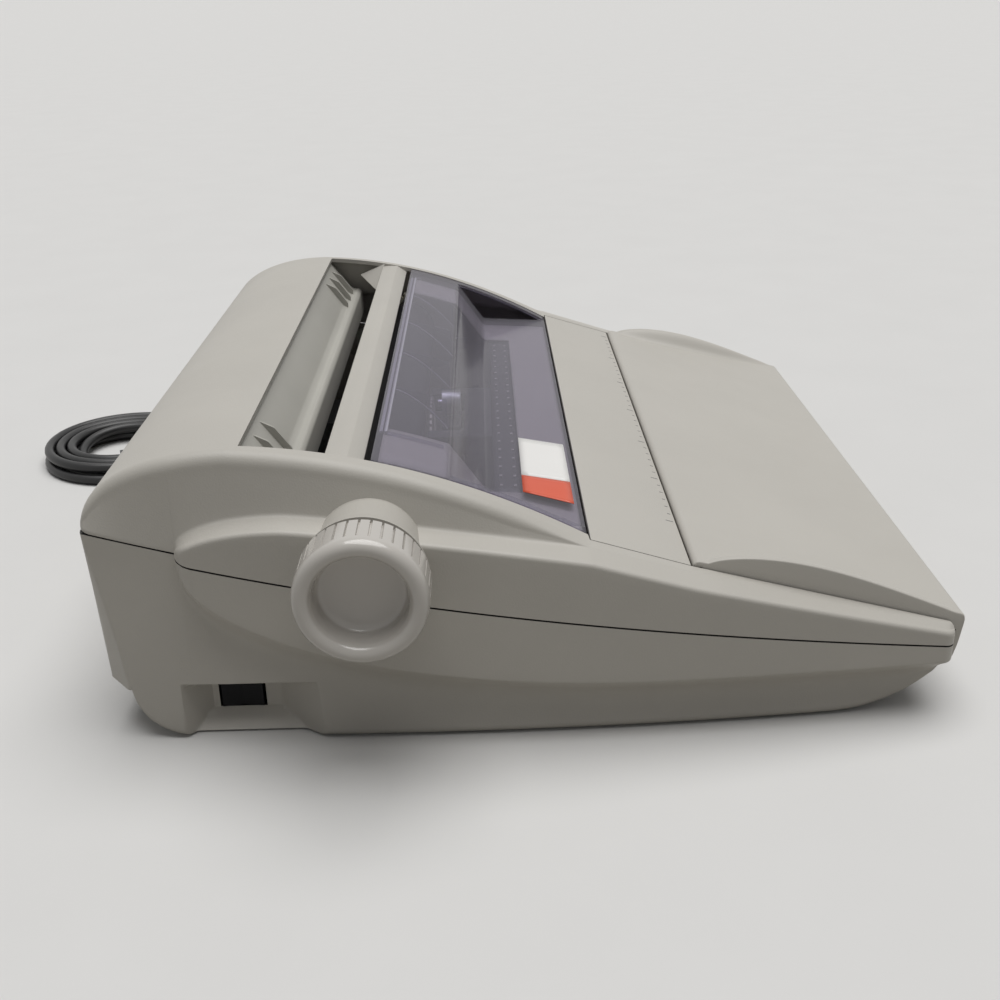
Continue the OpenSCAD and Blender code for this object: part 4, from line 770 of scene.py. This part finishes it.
def on_slope(x, s, h):
    """Points at x across, s along and h above the keyboard's slope, in machine millimetres."""
    return stacked(x, COVER_Y + s * np.cos(SLOPE) - h * np.sin(SLOPE), COVER_Z + s * np.sin(SLOPE) + h * np.cos(SLOPE))


a = np.linspace(-np.pi / 2, np.pi / 2, 11)
nose_s, nose_h = HINGE_S + NOSE_R * np.cos(a), -NOSE_R + NOSE_R * np.sin(a)
top_s = np.concatenate([[HINGE_S - 1.7], np.linspace(HINGE_S - 3.4, -COVER_LEN + 7.5, 64)])
lip_line = np.array([[-COVER_LEN + 7.5, 0], [LIP_S + 1.0, -0.2], [LIP_S - 0.4, -3.0], [LIP_S - 1.6, -15.0],
                     [LIP_S - 1.5, -21.0]])
t = np.linspace(0, 3, 31)[1:-1]
basis = stacked(*[np.clip(1 - np.abs(t * 4 / 3 - k), 0, 1) for k in range(5)])
lip = np.concatenate([lip_line[:1], basis @ lip_line, lip_line[-1:]])
for _ in range(3):
    soften(lip)
profile = np.concatenate([stacked(nose_s, nose_h), stacked(top_s, 0.0), lip[1:]])
print("profile of the cover:", len(profile), "points")

# %% Keyboard cover
xs = stations_across(COVER_HALF, [0, 0.1, 0.35, 0.7, 1.2, 2.0, 3.4, 3.7, 4.6, 6, 7.5, 9, 11, 13, 15, 18, 22, 30])
run = (HINGE_S - 4 - profile[:, 0]) / (COVER_LEN - 9)
swell = np.where((run > 0) & (run < 1), 8.0 * np.sin(np.pi * np.clip(run, 0, 1) ** 0.7), 0.0)
swell[len(nose_s) + len(top_s):] *= np.linspace(1, 0, len(lip) - 1) ** 2
inset = COVER_HALF - np.abs(xs)
rise = swell[:, None] * smooth_step((4.5 + swell[:, None] - inset[None]) / (2.0 + swell[:, None]))
roll_off = -0.7 * (1 - quarter(np.clip((0.7 - inset) / 0.7, 0, 1)))
heading = unit(np.gradient(profile, axis=0))
outward = stacked(heading[:, 1], -heading[:, 0])
lifted = profile[:, None, :] + outward[:, None, :] * (rise + roll_off[None])[..., None]
at_hinge = (np.arange(len(profile)) <= len(nose_s))[:, None]
hem_inside = stacked(np.maximum(profile[:, 0], LIP_S + 2.0), np.minimum(profile[:, 1], -8.0))
hem = np.where(at_hinge, profile - 2.5 * outward, hem_inside)
s, h = np.moveaxis(np.concatenate([hem[:, None], lifted, hem[:, None]], 1), -1, 0)
x = np.concatenate([[-COVER_HALF], xs, [COVER_HALF]])
rows, cols = s.shape
skin = on_slope(x[None, :], s, h)
cover = piece("keyboard_cover_sheet", skin, grid_quads(rows, cols)[:, ::-1], cover_grey, "cover", "cover_plastic",
              closed=False, wall=2.2, bevel=0.4)
hinge_y, hinge_z = on_slope(0.0, HINGE_S, -NOSE_R)[1:]
pin_x, pin_r = [-178.3, -178.3, -177.9, 177.9, 178.3, 178.3], [0, 1.2, 1.5, 1.5, 1.2, 0]
piece("keyboard_cover_pin", *lathe("x", pin_x, pin_r, hinge_y, hinge_z, 32), shaft_steel, "cover", "steel")
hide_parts("keyboard_cover")
print("cover:", rows, "x", cols, "points")

# %% [markdown]
# ## Deck panel
# The deck is the sloped strip between the window and the cover. A short wall drops from its front edge to a
# flat frame that lies under the cover, open over the keys. A row of plain ticks runs along the front edge.

# %% Deck panel
WALL_Y, BEZEL_H, BEZEL_HALF, KEYS_HALF, KEYS_BACK, TICKS = -66.15, -10.0, 179.4, 135.0, -14.0, 37
back_z, wall_z = shoulder_z(WINDOW_Y - 1), shoulder_z(WALL_Y)
strip = rounded([[WINDOW_Y - 1, back_z], [WALL_Y, wall_z], [WALL_Y, hinge_z - 9], [WALL_Y + 2.2, hinge_z - 9],
                 [WALL_Y + 2.2, wall_z - 2.0], [WINDOW_Y - 1, back_z - 2.5]], 0.5, 4)
BLOCK = [[0, 1, 3, 2], [4, 6, 7, 5], [0, 4, 5, 1], [2, 3, 7, 6], [0, 2, 6, 4], [1, 5, 7, 3]]


def block(place, *spans):
    """A block between three spans, its corners put in place by a function of the three."""
    return place(*np.meshgrid(*spans, indexing="ij")).reshape(-1, 3), BLOCK


def on_deck(x, y, h):
    """Points at a height over the deck's slope."""
    return stacked(x, y, shoulder_z(y) + h)


frame_h, frame_s = [BEZEL_H - 2.5, BEZEL_H], [16 - COVER_LEN, KEYS_BACK]
deck = piece("deck_panel_moulding", *together(
    across(strip, -178.9, 178.9), block(on_slope, [-BEZEL_HALF, BEZEL_HALF], [KEYS_BACK, 2.0], frame_h),
    block(on_slope, [-BEZEL_HALF, -KEYS_HALF], frame_s, frame_h),
    block(on_slope, [KEYS_HALF, BEZEL_HALF], frame_s, frame_h)), cover_grey, "case", "case_plastic", bevel=0.25)
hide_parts("deck_panel")
tick_x, tick_l = np.linspace(-136, 166, TICKS), np.where(np.arange(TICKS) % 6 == 0, 3.4, 1.5)
tick_blocks = [block(on_deck, [x - 0.25, x + 0.25], [WALL_Y + 1.2, WALL_Y + 1.2 + run], [-0.05, 0.06])
               for x, run in zip(tick_x, tick_l)]
piece("deck_ticks", *together(*tick_blocks), ink_grey, "case", "case_plastic")
print("deck:", len(deck.data.polygons), "faces,", TICKS, "ticks")

# %% [markdown]
# ## Smoky window
# The window is a thin tinted sheet: flat behind a crease, then a steep facet down to a sunk front panel,
# with a narrow wall up to the rim at each side. A grid over depth and width gives the top face.

# %% Tinted window
def smoky(name, tint, skin_tint):
    """Thin tinted sheet: light goes straight on and takes the tint at each skin, and a share that grows towards
    grazing angles is reflected by a glossy skin whose roughness drifts."""
    mat, net, shader = new_material(name)
    fill(shader, Base_Color=(*skin_tint, 1))
    place, slow = new_node(net, "TexCoord"), new_node(net, "TexNoise", Scale=12.0)
    spread = new_node(net, "MapRange", To_Min=0.05, To_Max=0.16)
    join(net, place, "Object", "Vector", slow, "Fac", "Value", spread, "Result", "Roughness", shader)
    thin = new_node(net, "BsdfTransparent", Color=(*tint, 1))
    slant, either = new_node(net, "LayerWeight", Blend=0.16), new_node(net, "MixShader")
    join(net, slant, "Facing", 0, either, 0, "Surface", net.nodes["Material Output"])
    join(net, thin, 0, 1, either)
    join(net, shader, 0, 2, either)
    return mat


smoke = smoky("smoke", (0.82, 0.805, 0.865), (0.30, 0.29, 0.32))
CREASE_Y, SINK_Y, SINK_Z, FRONT_Y, FLAT_HALF = 35.15, 18.65, 89.1, WINDOW_Y + 0.1, 173.7
ys = stops((FRONT_Y, 16), (SINK_Y - 3, 5), (SINK_Y + 2, 10), (CREASE_Y - 1.5, 4), (CREASE_Y + 0.5, 1),
           (CREASE_Y + 1.5, 14), (WINDOW_END, 1))
brim = rim_z(ys) - 0.3
sunk = np.interp(ys, [FRONT_Y, SINK_Y, CREASE_Y], [rim_z(FRONT_Y) - 0.3, SINK_Z, rim_z(CREASE_Y) - 0.3])
sunk = np.where(ys >= CREASE_Y, brim, np.minimum(sunk, brim))
for _ in range(2):
    soften(sunk)
xs = stations_across(FLAT_HALF, [0, 1.5, 3.0, 4.5, 5.6, 6.2, 6.5, 6.9, 7.3, 7.6, 8.2, 9.5, 12, 20])


def window_z(x, y):
    """Top of the window: the rim's height at the sides, and the sunk line within them."""
    return mix(np.interp(y, ys, brim), np.interp(y, ys, sunk), smooth_step((FLAT_HALF - np.abs(x) - 6.0) / 1.8))


skin = stacked(xs[None], ys[:, None], window_z(xs[None], ys[:, None]))
window = piece("smoky_window_sheet", skin, grid_quads(len(ys), len(xs)), smoke, "window", "smoke", closed=False,
               wall=2.0, angle=28)
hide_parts("smoky_window")
print("window:", len(ys), "x", len(xs), "points")

# %% [markdown]
# Under the window lies a pale surround with an opening over the works, and in the opening a dark strip with
# two rows of studs. The window itself carries five curved fins, a clear double strip along its rear edge and
# a bare two-colour patch near its left front corner.

# %% Surround and studs
def sheet(xs, ys, lift, keep=None):
    """A grid that follows the window's top at a distance, with the quads that are kept."""
    x, y = np.meshgrid(xs, ys)
    quads = grid_quads(len(ys), len(xs))
    if keep is not None:
        quads = quads[keep((xs[:-1] + xs[1:])[None] / 2, (ys[:-1] + ys[1:])[:, None] / 2).reshape(-1)]
    return stacked(x, y, window_z(x, y) + lift), quads


def outside_works(x, y):
    """True beside the opening over the works and in front of it."""
    return (x < NEAR_X) | (x > FAR_X) | (y < BAND_Y)


NEAR_X, FAR_X, BAND_Y, STRIP_LIFT = -123.0, 128.0, 2.6, -5.2
ahead_y, behind_y = ys[(ys > FRONT_Y + 1.5) & (ys < BAND_Y - 1)], ys[(ys > BAND_Y + 1) & (ys < 65.6)]
sheet_y = np.concatenate([[FRONT_Y + 1], ahead_y, [BAND_Y], behind_y])
sheet_x = np.array([-163, -150, -136, NEAR_X, -60, 0, 60, FAR_X, 140, 152, 163.0])
piece("window_surround", *sheet(sheet_x, sheet_y, -3.8, outside_works), *CASE, closed=False, wall=1.2)
strip_grid = np.linspace(NEAR_X - 1, FAR_X + 1, 22), np.linspace(BAND_Y - 1, 15.6, 5)
piece("window_dark_strip", *sheet(*strip_grid, STRIP_LIFT), works_black, "case", "black_plastic", closed=False,
      wall=0.8)


def stud(x, y):
    """A small level block on the dark strip."""
    z = window_z(x, y) + STRIP_LIFT
    return block(stacked, [x - 0.9, x + 0.9], [y - 0.7, y + 0.7], [z - 0.1, z + 0.5])


studs = piece("window_studs", *together(*[stud(x, y) for y in (5.6, 12.2) for x in np.linspace(-112, 118, 21)]),
              chute_grey, "case", "black_plastic")
print("studs:", len(studs.data.polygons) // len(BLOCK))

# %% Fins and patch
FIN_REAR, FIN_FRONT = 63.0, 37.6
fin_y = np.linspace(FIN_REAR, FIN_FRONT, 24)
fin_t = (FIN_REAR - fin_y) / (FIN_REAR - FIN_FRONT)
fin_top = np.interp(fin_y, ys, brim) - 2.2
fin_low = fin_top - 1.2 - 13.5 * fin_t ** 1.7
fin_outline = np.concatenate([stacked(fin_y, fin_top), stacked(fin_y, fin_low)[::-1]])
FIN_X = (-131.0, -69.0, -7.0, 54.0, 117.0)
piece("window_fins", *together(*[across(fin_outline, x - 0.35, x + 0.35) for x in FIN_X]), smoke, "window", "smoke")
rims = [tube(stacked(x, fin_y, fin_low), 0.45, 10) for x in FIN_X]
strip_z = np.interp(64.0, ys, brim) - 2.3
bars = [across(rounded_box(y, y + 1.5, strip_z - 0.9, strip_z, 0.2, 3), -131.5, 160.0) for y in (62.2, 64.3)]
piece("window_fin_edges", *together(*rims, *bars), clear_edge, "window", "smoke")


def patch(near0, near1, far0, far1):
    """A thin sheet on the window between two slanted ends, each given at its rear and front edge."""
    v, u = np.linspace(0, 1, 7)[:, None], np.linspace(0, 1, 9)[None]
    x, y = mix(mix(near0, near1, v), mix(far0, far1, v), u), mix(2.7, -19.5, v)
    return stacked(x, y, window_z(x, y) + 0.2)[::-1], grid_quads(v.size, u.size)


for name, ends, material in (("label_blank_pale", (-111, -118, -62, -70), label_white),
                             ("label_blank_orange", (-131, -143, -111, -118), label_orange)):
    piece(name, *patch(*ends), material, "window", "smoke", closed=False, wall=0.15)
print("fins:", len(FIN_X))

# %% [markdown]
# ## Slot bar and paper chute
# Outlines drawn in depth and height, their corners rounded, carried straight across the machine.

# %% Slot bar and paper chute
bar_z = rim_z(BAR_Y)
bar_line = rounded([[BAR_Y - 6.2, bar_z - 4.4], [BAR_Y, bar_z - 0.1], [BAR_Y + 4, bar_z + 0.1], [BAR_END, bar_z - 0.2],
                    [BAR_END, bar_z - 14], [BAR_END - 2, bar_z - 14], [BAR_END - 2, bar_z - 4],
                    [BAR_Y + 1, bar_z - 3.4], [BAR_Y - 4.4, bar_z - 7.2]], 0.5, 4)
bar = piece("slot_bar_moulding", *across(bar_line, -174.3, 174.3), *CASE, bevel=0.3)
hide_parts("slot_bar")
chute_at = [SLOT_END, rim_z(SLOT_END) - 2.9]
chute_line = rounded(np.array([[4, 0], [1.5, 0], [-11, -17], [-13.6, -18.8], [-16.4, -18.6], [-18.4, -20.4],
                               [-19.4, -33.5], [-17.8, -33.5], [-16.9, -21.6], [-13, -21.3], [-9.5, -18.5]])
                     + chute_at, 0.9, 4)
rib_line = rounded(np.array([[-0.6, -3], [-7, -6.2], [-14, -16], [-14, -19], [-11, -17]]) + chute_at, 0.8, 4)
rib_x = np.array([1, -1])[:, None] * (WINDOW_HALF - 12 - 17 * np.arange(3))
ribs = [across(rib_line, x - 0.6, x + 0.6) for x in rib_x.flat]
chute = piece("paper_chute_moulding", *together(across(chute_line, -178.4, 178.4), *ribs), chute_grey, "case",
              "case_plastic", bevel=0.25)
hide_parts("paper_chute")
gusset = np.array([[174.2, 83.6, 126.2], [174.2, 101.0, 119.0], [161.0, 89.5, 111.0], [174.2, 86.0, 116.0]])
gusset_faces = [[0, 1, 2], [0, 2, 3], [0, 3, 1], [1, 3, 2]]
piece("throat_gussets", *together(*[(gusset * [side, 1, 1], gusset_faces) for side in (-1, 1)]), *CASE, bevel=0.4)
print("chute:", len(chute.data.polygons), "faces")

# %% [markdown]
# ## Finishes of the inner parts
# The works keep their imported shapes, and each takes the finish of what it is made of.

# %% Finishes of the inner parts
inside = {
    foot_rubber: ["rubber_feet"],
    plated_sheet: ["chassis_plate", "left_side_plate", "right_side_plate", "guide_rail", "idler_post"],
    platen_rubber: ["platen_roller", "feed_rollers", "carriage_belt"],
    shaft_steel: ["feed_roller_shaft", "guide_shaft", "print_hammer"],
    gear_nylon: ["platen_bushes", "platen_gear", "line_feed_pinion", "idler_pulley", "drive_pulley"],
    motor_can: ["line_feed_motor", "wheel_motor", "carriage_motor", "hammer_body"],
    works_black: ["paper_pan", "carriage", "ribbon_cassette", "keyboard_tray"],
    wheel_cream: ["print_wheel"],
    board_laminate: ["main_board", "key_board"],
    core_iron: ["transformer"],
    key_cream: ["number_keys", "upper_letter_keys", "middle_letter_keys", "lower_letter_keys", "space_bar"],
    switch_black: ["switch_body", "power_rocker"],
}
for material, names in inside.items():
    for name in names:
        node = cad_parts[name]
        if not node.material_slots:
            node.data.materials.append(material)
        for holder in node.material_slots:
            holder.material = material
print("dressed nodes:", sum(map(len, inside.values())))
